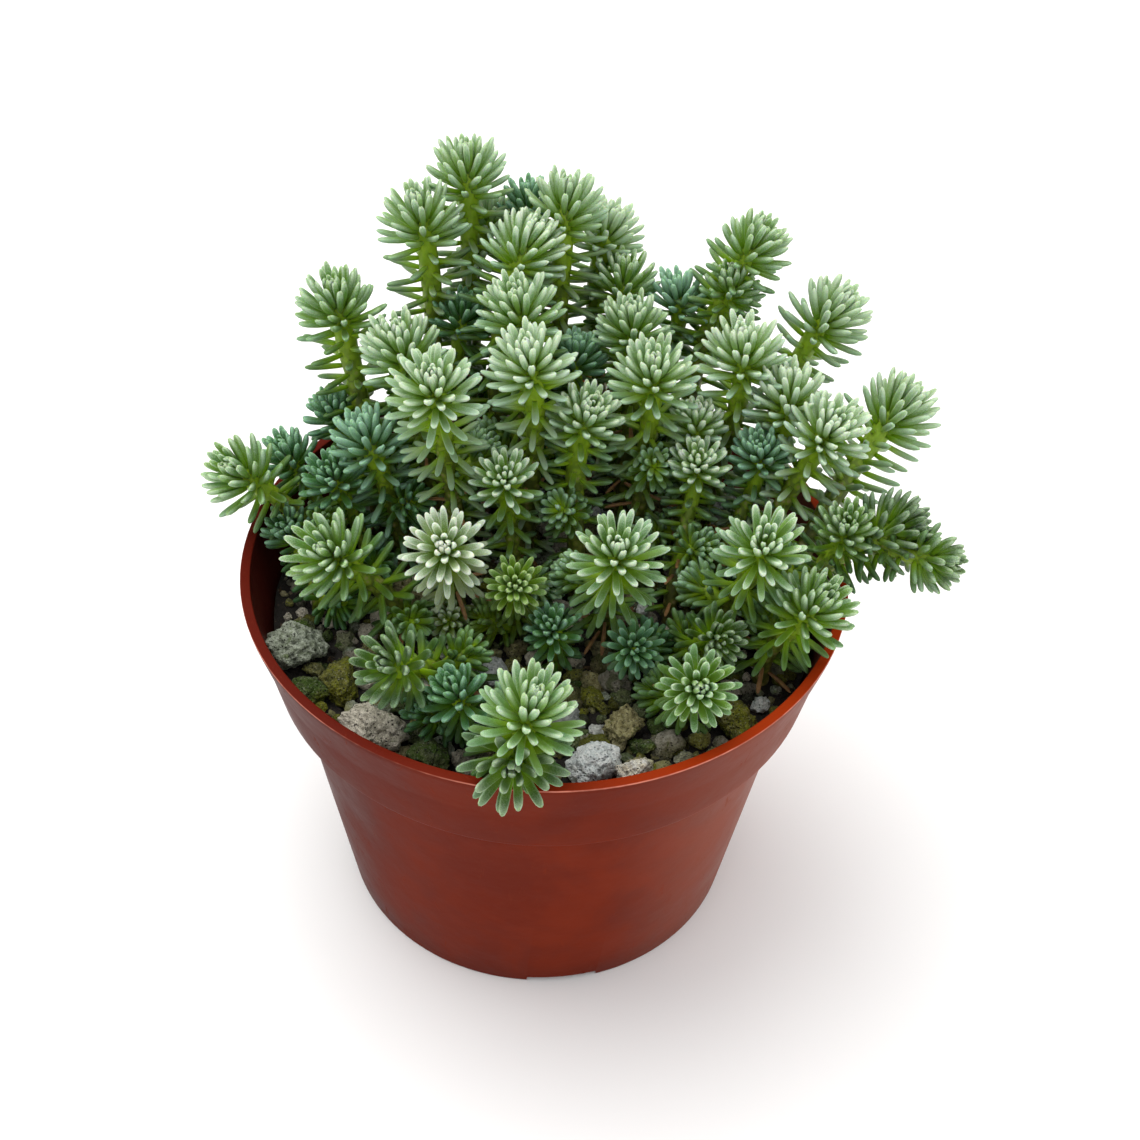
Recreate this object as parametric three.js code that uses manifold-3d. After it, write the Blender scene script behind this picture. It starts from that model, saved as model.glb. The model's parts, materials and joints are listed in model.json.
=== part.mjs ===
// A small stonecrop of many upright leafy stems in a round plastic nursery pot.
// Millimetres, +Z up. The origin is the middle of the pot's underside, and -Y is the front.

import * as THREE from 'three';
import { mergeVertices } from 'three/addons/utils/BufferGeometryUtils.js';
import Module from 'manifold-3d';

const wasm = await Module();
wasm.setup();

// Pot
const RIM_RADIUS = 45;
const POT_HEIGHT = 62;
const LIP_WIDTH = 1.8;
const LIP_HEIGHT = 1.4;
const LIP_OVERHANG = 0.6;
const WALL = 1.1;
const COLLAR_RADIUS = 41;
const COLLAR_BOTTOM = 45.5;
const SHOULDER_RADIUS = 38.3;
const SHOULDER_BOTTOM = 43.8;
const BASE_RADIUS = 31.2;
const BASE_FLOOR = 1.2;
const BASE_THICKNESS = 1.2;
const FOOT_WIDTH = 2.4;
const PAD_RADIUS = 12;
const POT_SIDES = 32;
const DRAIN_COUNT = 6;
const DRAIN_RADIUS = 3;
const DRAIN_CIRCLE = 20.5;
const DRAIN_SIDES = 8;
const NOTCH_COUNT = 4;
const NOTCH_WIDTH = 11;
const NOTCH_ANGLE = 8;

// Potting mix
const GAP = 0.3;
const SOIL_TOP = 53;
const HOLE_SIDES = 5;
const HOLE_CLEARANCE = 0.4;
const HOLE_LENGTH = 12;
const PEBBLE_COUNT = 22;
const PEBBLE_RADIUS = 1.9;
const STONE_FLAT = 0.7;

// Leafy stems
const STEM_SIDES = 5;
const STEM_RADIUS = 1.5;
const STEM_BOTTOM = 46.5;
const STEM_STRAIGHT_TOP = 54.5;
const CURVE_RISE = 0.35;
const CURVE_LEAD = 0.4;
const BARE_STEP = 11;
const LEAF_WIDTH = 1.9;
const LEAF_KEEL = 0.7;
const LEAF_RISE = 0.25;
const LEAF_WIDEST = 0.7;
const LEAF_REACH = 0.85;
const NODE_CLEARANCE = 0.4;
const OWN_CLEARANCE = 1.15;

// Whorls from the tip down: distance down the stem, stem radius, leaf opening from the stem's
// own direction in degrees, leaf length as a share of the stem's full leaf, and leaves on the whorl.
const WHORLS = [
  { down: 0.4, radius: 0.55, open: 14, length: 0.42, leaves: 5 },
  { down: 1.7, radius: 0.95, open: 36, length: 0.72, leaves: 5 },
  { down: 3.1, radius: 1.15, open: 58, length: 0.95, leaves: 5 },
  { down: 4.8, radius: 1.3, open: 80, length: 1.0, leaves: 5 },
  { down: 6.8, radius: 1.4, open: 96, length: 0.95, leaves: 3 },
  { down: 9.4, radius: 1.5, open: 106, length: 0.9, leaves: 3 },
  { down: 12.4, radius: 1.5, open: 112, length: 0.85, leaves: 2 },
  { down: 15.8, radius: 1.5, open: 116, length: 0.8, leaves: 2 },
  { down: 19.4, radius: 1.5, open: 118, length: 0.75, leaves: 2 },
  { down: 23.2, radius: 1.5, open: 118, length: 0.7, leaves: 0 },
];

function stem(name, foot, tip, lean, leaf, leafy, tone, branches = []) {
  return { name: `stem_${name}`, foot, tip, lean, leaf, leafy, tone, branches };
}

function branch(at, tip, lean, leaf, leafy) {
  return { at, tip, lean, leaf, leafy };
}

// Every stem: name, foot in the potting mix (x, y), tip (x, y, z), the heading that the head leans
// towards (degrees from +X, counter-clockwise) and how far it leans from upright, the length of a
// full leaf, how far the leaves reach down the stem, and its colour. A branch leaves its stem at a
// share of the stem's length, and has a tip, lean, leaf and leafy length of its own.
const STEMS = [
  stem('back_1', [-12, 31], [-13, 41, 105], [100, 10], 6.6, 14, 'green', [
    branch(0.62, [-9, 44, 95], [60, 30], 4.6, 5),
  ]),
  stem('back_2', [-19, 25], [-20, 34, 101], [175, 12], 6.8, 20, 'green'),
  stem('back_3', [2, 27], [2, 37, 102], [60, 8], 6.7, 14, 'green'),
  stem('back_4', [-4, 33], [-4, 43, 98], [110, 12], 5.2, 7, 'blue'),
  stem('back_5', [9, 32], [9, 41, 95], [30, 20], 5.8, 12, 'green'),
  stem('back_6', [-7, 21], [-3, 30, 99], [20, 28], 6.8, 14, 'frosted'),
  stem('back_7', [12, 26], [11, 35, 90], [90, 6], 5.8, 10, 'green'),
  stem('back_8', [21, 24], [31, 33, 98], [5, 30], 6, 20, 'green', [
    branch(0.6, [27, 31, 92], [200, 8], 5, 7),
  ]),
  stem('back_9', [15, 31], [19, 34, 88], [150, 15], 5.4, 8, 'blue'),
  stem('back_10', [-13, 25], [-13, 29, 87], [40, 15], 5, 5, 'blue'),

  stem('middle_1', [-26, 15], [-32, 24, 92], [200, 10], 6.8, 20, 'green'),
  stem('middle_2', [-6, 13], [-5, 18, 96], [200, 14], 6.8, 12, 'frosted'),
  stem('middle_3', [12, 19], [12, 23, 90], [180, 6], 6, 10, 'frosted'),
  stem('middle_4', [32, 15], [43, 27, 90], [350, 32], 6.9, 14, 'green'),
  stem('middle_5', [24, 14], [28, 16, 91], [180, 8], 6.8, 15, 'frosted'),
  stem('middle_6', [-17, 11], [-22, 16, 90], [190, 12], 6.8, 10, 'frosted'),
  stem('middle_7', [-13, 5], [-16, 0, 95], [262, 22], 7, 18, 'frosted'),
  stem('middle_8', [-3, 7], [-3, 7, 95], [215, 12], 6.7, 15, 'frosted'),
  stem('middle_9', [14, 9], [15, 10, 91], [265, 12], 6.7, 14, 'frosted'),
  stem('middle_10', [5, 1], [6, 6, 86], [320, 20], 5.6, 16, 'frosted'),
  stem('middle_11', [4, 19], [4, 22, 85], [80, 10], 5, 4, 'blue'),

  stem('right_1', [29, 9], [35, 13, 86], [120, 14], 6.4, 8, 'frosted'),
  stem('right_2', [31, 2], [41, 5, 85], [300, 25], 6.7, 14, 'frosted'),
  stem('right_3', [36, -3], [53, 16, 81], [10, 32], 6.9, 23, 'green'),
  stem('right_4', [20, 8], [22, 12, 81], [90, 5], 4.6, 5, 'frosted'),
  stem('right_5', [19, -3], [22, 5, 78], [262, 30], 5, 8, 'frosted'),
  stem('right_6', [25, 2], [31, 7, 79], [230, 20], 5, 6, 'blue'),
  stem('right_7', [33, -9], [52, -4, 74], [352, 62], 6.4, 10, 'green', [
    branch(0.72, [57, -9, 72], [335, 75], 5.2, 6),
    branch(0.5, [43, -6, 76], [250, 25], 5.2, 5),
  ]),

  stem('left_1', [-33, 6], [-46, 6, 73], [225, 38], 6.7, 7, 'green'),
  stem('left_2', [-33, 12], [-40, 15, 70], [170, 20], 5, 5, 'blue'),
  stem('left_3', [-27, 6], [-32, 6, 73], [245, 25], 5.4, 7, 'blue'),
  stem('left_4', [-22, 8], [-27, 9, 79], [160, 18], 6, 8, 'blue'),
  stem('left_5', [-28, 22], [-33, 21, 74], [150, 12], 5, 5, 'blue'),
  stem('left_6', [-34, -2], [-39, 3, 65], [250, 40], 4.4, 4, 'blue'),
  stem('left_7', [-20, -8], [-31, -11, 73], [250, 36], 7.2, 10, 'green'),

  stem('front_1', [-4, -1], [-6, -2, 80], [270, 34], 5.4, 8, 'frosted'),
  stem('front_2', [-13, -5], [-14, -14, 77], [270, 40], 6.4, 8, 'white'),
  stem('front_3', [-4, -7], [-4, -16, 72], [272, 42], 4.6, 5, 'yellow'),
  stem('front_4', [9, -8], [10, -18, 81], [268, 24], 7, 13, 'frosted'),
  stem('front_5', [2, -14], [1, -18, 66], [240, 30], 4.4, 5, 'blue'),
  stem('front_6', [13, -15], [13, -21, 65], [280, 46], 4.4, 5, 'blue'),
  stem('front_7', [26, -9], [30, -16, 81], [262, 26], 6.8, 14, 'frosted'),
  stem('front_8', [32, -15], [38, -20, 74], [330, 22], 6.6, 9, 'green'),
  stem('front_9', [20, -24], [21, -34, 71], [270, 40], 6.4, 6, 'green'),
  stem('front_10', [-11, -20], [-21, -30, 70], [235, 38], 6.2, 8, 'green'),
  stem('front_11', [-5, -28], [-1, -43, 77], [305, 38], 7.2, 11, 'frosted', [
    branch(0.62, [-4, -50, 67], [266, 80], 6, 5),
  ]),
  stem('front_12', [-11, -27], [-12, -31, 67], [160, 25], 5, 5, 'blue'),
  stem('front_13', [21, -14], [25, -20, 66], [285, 55], 5, 6, 'green'),
];

// Loose stones on the mix: middle (x, y), half sizes and colour.
const STONES = [
  { name: 'stone_pumice_left', at: [-36, -12], size: [3.9, 3.6, 3.1], tone: 'grey' },
  { name: 'stone_pumice_front_left', at: [-23.5, -28.5], size: [3.9, 3.6, 3], tone: 'speckled' },
  { name: 'stone_pumice_front', at: [7.5, -34], size: [3, 3.5, 2.7], tone: 'pale' },
  { name: 'stone_cream_front', at: [13, -37], size: [2.6, 2.2, 2], tone: 'cream' },
  { name: 'stone_tan_front', at: [11.5, -26.5], size: [2.6, 2.7, 2.4], tone: 'tan' },
  { name: 'stone_olive_right', at: [28, -25], size: [2.7, 2.9, 2.3], tone: 'olive' },
  { name: 'stone_olive_left', at: [-29, -19], size: [2.4, 3.3, 2.4], tone: 'olive' },
  { name: 'stone_mossy_front', at: [-15, -33.5], size: [2.9, 2.4, 2.1], tone: 'moss' },
  { name: 'stone_green_left', at: [-33.5, -20.5], size: [2.7, 2.2, 1.9], tone: 'moss' },
  { name: 'stone_grey_middle', at: [-12.5, -12.5], size: [2.2, 2.2, 2], tone: 'grey' },
];

const COLOURS = {
  pot: 0x7a2a18,
  soil: 0x2a2620,
  green: 0x6f9457,
  frosted: 0x8fae86,
  white: 0xa3b79a,
  blue: 0x4f7d5c,
  yellow: 0x88a04e,
  grey: 0x8b918a,
  speckled: 0x97968a,
  pale: 0xb0b5ae,
  cream: 0xbdb59c,
  tan: 0x7f7a58,
  olive: 0x6a6a3c,
  moss: 0x4f5f32,
};

// Seeded random numbers between 0 and 1
function seeded(seed) {
  let state = seed;
  return () => {
    state = (state + 0x6d2b79f5) | 0;
    let mixed = Math.imul(state ^ (state >>> 15), 1 | state);
    mixed = (mixed + Math.imul(mixed ^ (mixed >>> 7), 61 | mixed)) ^ mixed;
    return ((mixed ^ (mixed >>> 14)) >>> 0) / 4294967296;
  };
}

function vector(x, y, z) {
  return new THREE.Vector3(x, y, z);
}

// A direction that leans from upright towards a heading, both in degrees
function leaning([heading, lean]) {
  const turn = THREE.MathUtils.degToRad(heading);
  const tilt = THREE.MathUtils.degToRad(lean);
  return vector(Math.cos(turn) * Math.sin(tilt), Math.sin(turn) * Math.sin(tilt), Math.cos(tilt));
}

// Geometry from points and triangles, and to and from a solid for joins and cuts
function facets(points, triangles) {
  const geometry = new THREE.BufferGeometry();
  geometry.setAttribute('position', new THREE.Float32BufferAttribute(points.flatMap((p) => p.toArray()), 3));
  geometry.setIndex(triangles.flat());
  return geometry;
}

function solid(geometry) {
  const bare = geometry.clone();
  bare.deleteAttribute('normal');
  bare.deleteAttribute('uv');
  const merged = mergeVertices(bare, 1e-4);
  return new wasm.Manifold(new wasm.Mesh({
    numProp: 3,
    vertProperties: Float32Array.from(merged.attributes.position.array),
    triVerts: Uint32Array.from(merged.index.array),
  }));
}

// The biggest of the bodies that a cut leaves, without the loose scraps
function biggest(manifold) {
  return manifold.decompose().sort((first, second) => second.volume() - first.volume())[0];
}

function geometryOf(manifold) {
  const mesh = manifold.getMesh();
  const geometry = new THREE.BufferGeometry();
  geometry.setAttribute('position', new THREE.Float32BufferAttribute(mesh.vertProperties, 3));
  geometry.setIndex(Array.from(mesh.triVerts));
  return geometry;
}

// A turned solid whose profile starts and ends on the axis, given from the bottom up the outside
function turned(profile, sides) {
  const points = [];
  const rows = profile.map(([radius, height]) => {
    const count = radius === 0 ? 1 : sides;
    const first = points.length;
    for (let side = 0; side < count; side += 1) {
      const angle = (side / sides) * Math.PI * 2;
      points.push(vector(radius * Math.cos(angle), radius * Math.sin(angle), height));
    }
    return { first, count };
  });
  const pick = (row, side) => row.first + (row.count === 1 ? 0 : side % sides);
  const triangles = [];
  for (let index = 1; index < rows.length; index += 1) {
    const low = rows[index - 1];
    const high = rows[index];
    for (let side = 0; side < sides; side += 1) {
      if (low.count > 1) triangles.push([pick(low, side), pick(low, side + 1), pick(high, side + 1)]);
      if (high.count > 1) triangles.push([pick(low, side), pick(high, side + 1), pick(high, side)]);
    }
  }
  return facets(points, triangles);
}

// Pot: inner and outer profiles share the same heights, so the wall keeps its thickness
const LIP_BOTTOM = POT_HEIGHT - LIP_HEIGHT;
const LIP_INNER = RIM_RADIUS - LIP_WIDTH;
const FLOOR_TOP = BASE_FLOOR + BASE_THICKNESS;

function potGeometry() {
  const outside = [
    [0, 0],
    [PAD_RADIUS, 0],
    [PAD_RADIUS + 0.6, BASE_FLOOR],
    [BASE_RADIUS - FOOT_WIDTH, BASE_FLOOR],
    [BASE_RADIUS - FOOT_WIDTH + 0.4, 0],
    [BASE_RADIUS - 0.5, 0],
    [BASE_RADIUS, 0.5],
    [SHOULDER_RADIUS, SHOULDER_BOTTOM],
    [COLLAR_RADIUS, COLLAR_BOTTOM],
    [RIM_RADIUS - LIP_OVERHANG, LIP_BOTTOM],
    [RIM_RADIUS, LIP_BOTTOM + 0.3],
    [RIM_RADIUS, POT_HEIGHT - 0.3],
    [RIM_RADIUS - 0.3, POT_HEIGHT],
  ];
  const inside = [
    [LIP_INNER, POT_HEIGHT],
    [LIP_INNER, LIP_BOTTOM],
    [COLLAR_RADIUS - WALL, COLLAR_BOTTOM + 0.5],
    [SHOULDER_RADIUS - WALL, SHOULDER_BOTTOM + 0.5],
    [BASE_RADIUS - WALL - 0.4, FLOOR_TOP + 0.8],
    [BASE_RADIUS - WALL - 1.2, FLOOR_TOP],
    [0, FLOOR_TOP],
  ];
  let pot = solid(turned([...outside, ...inside], POT_SIDES));

  for (let index = 0; index < DRAIN_COUNT; index += 1) {
    const angle = (index / DRAIN_COUNT) * Math.PI * 2;
    const drain = new THREE.CylinderGeometry(DRAIN_RADIUS, DRAIN_RADIUS, FLOOR_TOP * 2, DRAIN_SIDES);
    drain.rotateX(Math.PI / 2);
    drain.translate(DRAIN_CIRCLE * Math.cos(angle), DRAIN_CIRCLE * Math.sin(angle), FLOOR_TOP);
    pot = pot.subtract(solid(drain));
  }
  for (let index = 0; index < NOTCH_COUNT; index += 1) {
    const angle = THREE.MathUtils.degToRad(NOTCH_ANGLE - 90 + (index * 360) / NOTCH_COUNT);
    const notch = new THREE.BoxGeometry(FOOT_WIDTH * 4, NOTCH_WIDTH, BASE_FLOOR * 2 - 0.02);
    notch.translate(BASE_RADIUS, 0, 0);
    notch.rotateZ(angle);
    pot = pot.subtract(solid(notch));
  }
  return geometryOf(pot);
}

// How far the pot's inner wall is from the axis at a height, and how far the outer one is
function wallRadius(height, inner) {
  const heights = [0, SHOULDER_BOTTOM, COLLAR_BOTTOM, LIP_BOTTOM, POT_HEIGHT];
  const radii = inner
    ? [BASE_RADIUS - WALL, SHOULDER_RADIUS - WALL, COLLAR_RADIUS - WALL, LIP_INNER, LIP_INNER]
    : [BASE_RADIUS, SHOULDER_RADIUS, COLLAR_RADIUS, RIM_RADIUS, RIM_RADIUS];
  let step = 1;
  while (step < heights.length - 1 && height > heights[step]) step += 1;
  const share = (height - heights[step - 1]) / (heights[step] - heights[step - 1]);
  return THREE.MathUtils.lerp(radii[step - 1], radii[step], THREE.MathUtils.clamp(share, 0, 1));
}

// Potting mix: a plug that fills the pot to a little below the rim, with pebbles on its top
const PLUG_RADIUS = wallRadius(SOIL_TOP, true) - GAP - 0.2;

function soilPlug() {
  const profile = [
    [0, FLOOR_TOP + GAP],
    [BASE_RADIUS - WALL - 1.8, FLOOR_TOP + GAP],
    [BASE_RADIUS - WALL - 0.9, FLOOR_TOP + 1.5],
    [SHOULDER_RADIUS - WALL - GAP - 0.1, SHOULDER_BOTTOM + 0.6],
    [COLLAR_RADIUS - WALL - GAP - 0.2, COLLAR_BOTTOM + 0.6],
    [PLUG_RADIUS, SOIL_TOP],
    [0, SOIL_TOP],
  ];
  return solid(turned(profile, POT_SIDES));
}

// A rough stone: a ball of few faces, dented by a formula and cut flat underneath
function stoneGeometry(size, detail, seed, flatBelow) {
  const random = seeded(seed);
  const ball = new THREE.IcosahedronGeometry(1, detail);
  ball.deleteAttribute('normal');
  ball.deleteAttribute('uv');
  const geometry = mergeVertices(ball);
  const position = geometry.attributes.position;
  for (let index = 0; index < position.count; index += 1) {
    const dent = 0.84 + 0.16 * random();
    position.setXYZ(
      index,
      position.getX(index) * dent * size[0],
      position.getY(index) * dent * size[1],
      Math.max(position.getZ(index) * dent * size[2], -flatBelow * size[2]),
    );
  }
  geometry.rotateZ(random() * Math.PI);
  return geometry;
}

function pebblePlaces() {
  const random = seeded(41);
  const places = [];
  for (let tries = 0; tries < 4000 && places.length < PEBBLE_COUNT; tries += 1) {
    const angle = random() * Math.PI * 2;
    const reach = (0.35 + 0.65 * Math.sqrt(random())) * (PLUG_RADIUS - PEBBLE_RADIUS - 0.4);
    const size = PEBBLE_RADIUS * (0.65 + 0.35 * random());
    const x = reach * Math.cos(angle);
    const y = reach * Math.sin(angle);
    const clearOfStems = STEMS.every(({ foot }) => (
      Math.hypot(foot[0] - x, foot[1] - y) > size + STEM_RADIUS + HOLE_CLEARANCE + 0.2
    ));
    const clearOfStones = STONES.every(({ at, size: half }) => (
      Math.hypot(at[0] - x, at[1] - y) > size + Math.max(half[0], half[1]) + GAP
    ));
    const clearOfRest = places.every((place) => (
      Math.hypot(place.x - x, place.y - y) > (size + place.size) * 0.8
    ));
    if (clearOfStems && clearOfStones && clearOfRest) places.push({ x, y, size });
  }
  return places;
}

function soilGeometry() {
  let soil = soilPlug();
  pebblePlaces().forEach(({ x, y, size }, index) => {
    const pebble = stoneGeometry([size, size, size * 0.8], 0, 100 + index, 1);
    pebble.translate(x, y, SOIL_TOP + size * 0.15);
    soil = soil.add(solid(pebble));
  });
  STEMS.forEach(({ foot }) => {
    const bore = (STEM_RADIUS + HOLE_CLEARANCE) / Math.cos(Math.PI / HOLE_SIDES);
    const hole = new THREE.CylinderGeometry(bore, bore, HOLE_LENGTH, HOLE_SIDES);
    hole.rotateX(Math.PI / 2);
    hole.translate(foot[0], foot[1], STEM_BOTTOM - GAP + HOLE_LENGTH / 2);
    soil = soil.subtract(solid(hole));
  });
  return geometryOf(biggest(soil));
}

// Stems: a path is a list of points, each with the stem's direction and two sideways axes
function pathOf(points) {
  const lengths = [0];
  for (let index = 1; index < points.length; index += 1) {
    lengths.push(lengths[index - 1] + points[index].distanceTo(points[index - 1]));
  }
  const total = lengths[lengths.length - 1];
  const frames = [];
  let side = vector(1, 0, 0);
  points.forEach((point, index) => {
    const before = points[Math.max(index - 1, 0)];
    const after = points[Math.min(index + 1, points.length - 1)];
    const ahead = after.clone().sub(before).normalize();
    side = side.clone().addScaledVector(ahead, -side.dot(ahead)).normalize();
    frames.push({ point, ahead, side, across: ahead.clone().cross(side) });
  });
  const at = (distance) => {
    const wanted = THREE.MathUtils.clamp(distance, 0, total);
    let index = 1;
    while (index < lengths.length - 1 && lengths[index] < wanted) index += 1;
    const share = (wanted - lengths[index - 1]) / (lengths[index] - lengths[index - 1]);
    const [low, high] = [frames[index - 1], frames[index]];
    return {
      point: low.point.clone().lerp(high.point, share),
      ahead: low.ahead.clone().lerp(high.ahead, share).normalize(),
      side: low.side.clone().lerp(high.side, share).normalize(),
      across: low.across.clone().lerp(high.across, share).normalize(),
    };
  };
  return { total, at, points };
}

const PATH_STEPS = 24;

function stemPath({ foot, tip, lean }) {
  const rooted = vector(foot[0], foot[1], STEM_STRAIGHT_TOP);
  const head = vector(...tip);
  const reach = rooted.distanceTo(head);
  const curve = new THREE.CubicBezierCurve3(
    rooted,
    rooted.clone().add(vector(0, 0, reach * CURVE_RISE)),
    head.clone().addScaledVector(leaning(lean), -reach * CURVE_LEAD),
    head,
  );
  return pathOf([vector(foot[0], foot[1], STEM_BOTTOM), ...curve.getPoints(PATH_STEPS)]);
}

function branchPath(parent, { at, tip, lean }) {
  const joint = parent.at(parent.total * at);
  const head = vector(...tip);
  const reach = joint.point.distanceTo(head);
  const curve = new THREE.CubicBezierCurve3(
    joint.point,
    joint.point.clone().addScaledVector(joint.ahead, reach * CURVE_RISE),
    head.clone().addScaledVector(leaning(lean), -reach * CURVE_LEAD),
    head,
  );
  return pathOf(curve.getPoints(PATH_STEPS));
}

// Every shoot is one stretch of stem with a head: the stem itself or one of its branches
function shootsOf(stem, node) {
  const path = stemPath(stem);
  const main = { ...stem, path, node, isBranch: false };
  const branches = stem.branches.map((branch) => (
    { ...branch, path: branchPath(path, branch), node, isBranch: true }
  ));
  return [main, ...branches];
}

// Rings of a shoot from its tip down: the whorls as far as its leaves reach, then bare stem
function ringsOf(shoot) {
  const { total } = shoot.path;
  const straight = shoot.isBranch ? 0 : STEM_STRAIGHT_TOP - STEM_BOTTOM;
  const rings = WHORLS.filter(({ down }, index) => (
    (index < 4 || down <= shoot.leafy + 1.5) && down < total - straight - 1.2
  )).map((whorl) => ({ ...whorl }));
  rings[rings.length - 1].leaves = 0;
  const lastDown = rings[rings.length - 1].down;
  const bare = total - straight - lastDown;
  const bareSteps = Math.max(1, Math.ceil(bare / BARE_STEP));
  for (let step = 1; step <= bareSteps; step += 1) {
    rings.push({ down: lastDown + (bare * step) / bareSteps, radius: STEM_RADIUS, leaves: 0 });
  }
  if (straight > 0) rings.push({ down: total, radius: STEM_RADIUS, leaves: 0 });
  return rings;
}

// The corner points of every ring, each ring turned half a side from the one above
function placeRings(shoot, random) {
  const turn = random() * Math.PI * 2;
  return ringsOf(shoot).map((ring, index) => {
    const frame = shoot.path.at(shoot.path.total - ring.down);
    const corners = [];
    for (let side = 0; side < STEM_SIDES; side += 1) {
      const angle = turn + ((side + index / 2) / STEM_SIDES) * Math.PI * 2;
      corners.push(frame.point.clone()
        .addScaledVector(frame.side, Math.cos(angle) * ring.radius)
        .addScaledVector(frame.across, Math.sin(angle) * ring.radius));
    }
    return { ...ring, frame, corners };
  });
}

// A leaf stands on a triangle with its broad edge up: two upper corners and one keel corner below.
// It runs out along `start`, bends towards `end` past its widest place, and tapers to a blunt point.
function leafShape(base, frame, { length, open, swing, curl }) {
  const [left, right, keel] = base;
  const root = left.clone().add(right).add(keel).divideScalar(3);
  const outward = root.clone().sub(frame.point);
  outward.addScaledVector(frame.ahead, -outward.dot(frame.ahead)).normalize();
  const along = outward.clone().cross(frame.ahead);
  const heading = outward.clone().addScaledVector(along, Math.tan(swing)).normalize();
  const rising = (angle) => heading.clone().multiplyScalar(Math.sin(angle))
    .addScaledVector(frame.ahead, Math.cos(angle));
  const start = rising(open);
  const end = rising(open + curl);
  const widest = root.clone().addScaledVector(start, length * LEAF_WIDEST);
  const tip = widest.clone().addScaledVector(end, length * (1 - LEAF_WIDEST));
  return { root, widest, tip, start };
}

// Distance between two straight pieces, each given by its ends
function segmentDistance(a, b, c, d) {
  const u = b.clone().sub(a);
  const v = d.clone().sub(c);
  const w = a.clone().sub(c);
  const [uu, uv, vv, uw, vw] = [u.dot(u), u.dot(v), v.dot(v), u.dot(w), v.dot(w)];
  const clamp = (value) => Math.min(1, Math.max(0, value));
  const below = uu * vv - uv * uv;
  let s = below > 1e-9 ? clamp((uv * vw - vv * uw) / below) : 0;
  const t = clamp((uv * s + vw) / vv);
  s = clamp((uv * t - uw) / uu);
  return w.addScaledVector(u, s).addScaledVector(v, -t).length();
}

// A straight piece of leaf or stem that other leaves keep clear of
function bar(from, to, radius, node, owner) {
  return {
    from, to, radius, node, owner,
    middle: from.clone().lerp(to, 0.5),
    reach: from.distanceTo(to) / 2 + radius,
  };
}

function isBlocked(from, to, radius, node, owner, bars) {
  const middle = from.clone().lerp(to, 0.5);
  const reach = from.distanceTo(to) / 2 + radius + NODE_CLEARANCE;
  return bars.some((other) => {
    if (other.owner === owner && other.isStem) return false;
    if (other.middle.distanceTo(middle) > other.reach + reach) return false;
    const distance = segmentDistance(from, to, other.from, other.to);
    if (other.owner === owner) return distance < OWN_CLEARANCE;
    return distance < radius + other.radius + NODE_CLEARANCE;
  });
}

// Whether a point lies too near the pot, the potting mix or a stone
function hitsHolder(point, clear) {
  const outFrom = Math.hypot(point.x, point.y);
  if (point.z < POT_HEIGHT + clear) {
    const inside = outFrom < wallRadius(point.z, true) - clear;
    const outside = outFrom > wallRadius(point.z, false) + clear;
    if (!inside && !outside) return true;
    if (inside && point.z < SOIL_TOP + PEBBLE_RADIUS * 0.6 + clear) return true;
  }
  return STONES.some(({ at, size }) => {
    const middle = vector(at[0], at[1], SOIL_TOP + size[2]);
    return point.distanceTo(middle) < Math.max(...size) + clear;
  });
}

// Ways to bend or shorten a leaf until it is clear, the least change first
const BENDS = [];
for (const share of [1, 0.85, 0.7, 0.55]) {
  for (const rise of [0, -14, 14, -28, 28, -42]) {
    for (const swing of [0, 14, -14, 26, -26]) {
      BENDS.push({ share, rise, swing, cost: (1 - share) * 110 + Math.abs(rise) + Math.abs(swing) * 0.9 });
    }
  }
}
BENDS.sort((first, second) => first.cost - second.cost);

function clearLeaf(base, ring, shoot, bars, random) {
  const wobble = random() - 0.5;
  const stray = random() - 0.5;
  for (const bend of BENDS) {
    const open = THREE.MathUtils.degToRad(ring.open + wobble * 10 + bend.rise);
    const swing = THREE.MathUtils.degToRad(stray * 12 + bend.swing);
    const length = shoot.leaf * ring.length * bend.share;
    const curl = THREE.MathUtils.degToRad(ring.open > 90 ? 16 : -12);
    const leaf = leafShape(base, ring.frame, { length, open, swing, curl });
    const inner = leaf.root.clone().lerp(leaf.widest, 0.35);
    const blocked = isBlocked(inner, leaf.widest, LEAF_REACH, shoot.node, shoot, bars)
      || isBlocked(leaf.widest, leaf.tip, LEAF_REACH * 0.9, shoot.node, shoot, bars)
      || [inner, leaf.widest, leaf.tip].some((point) => hitsHolder(point, LEAF_REACH + 0.3));
    if (!blocked && open < 2.5 && open > 0.1) {
      return { ...leaf, length };
    }
  }
  return null;
}

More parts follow.
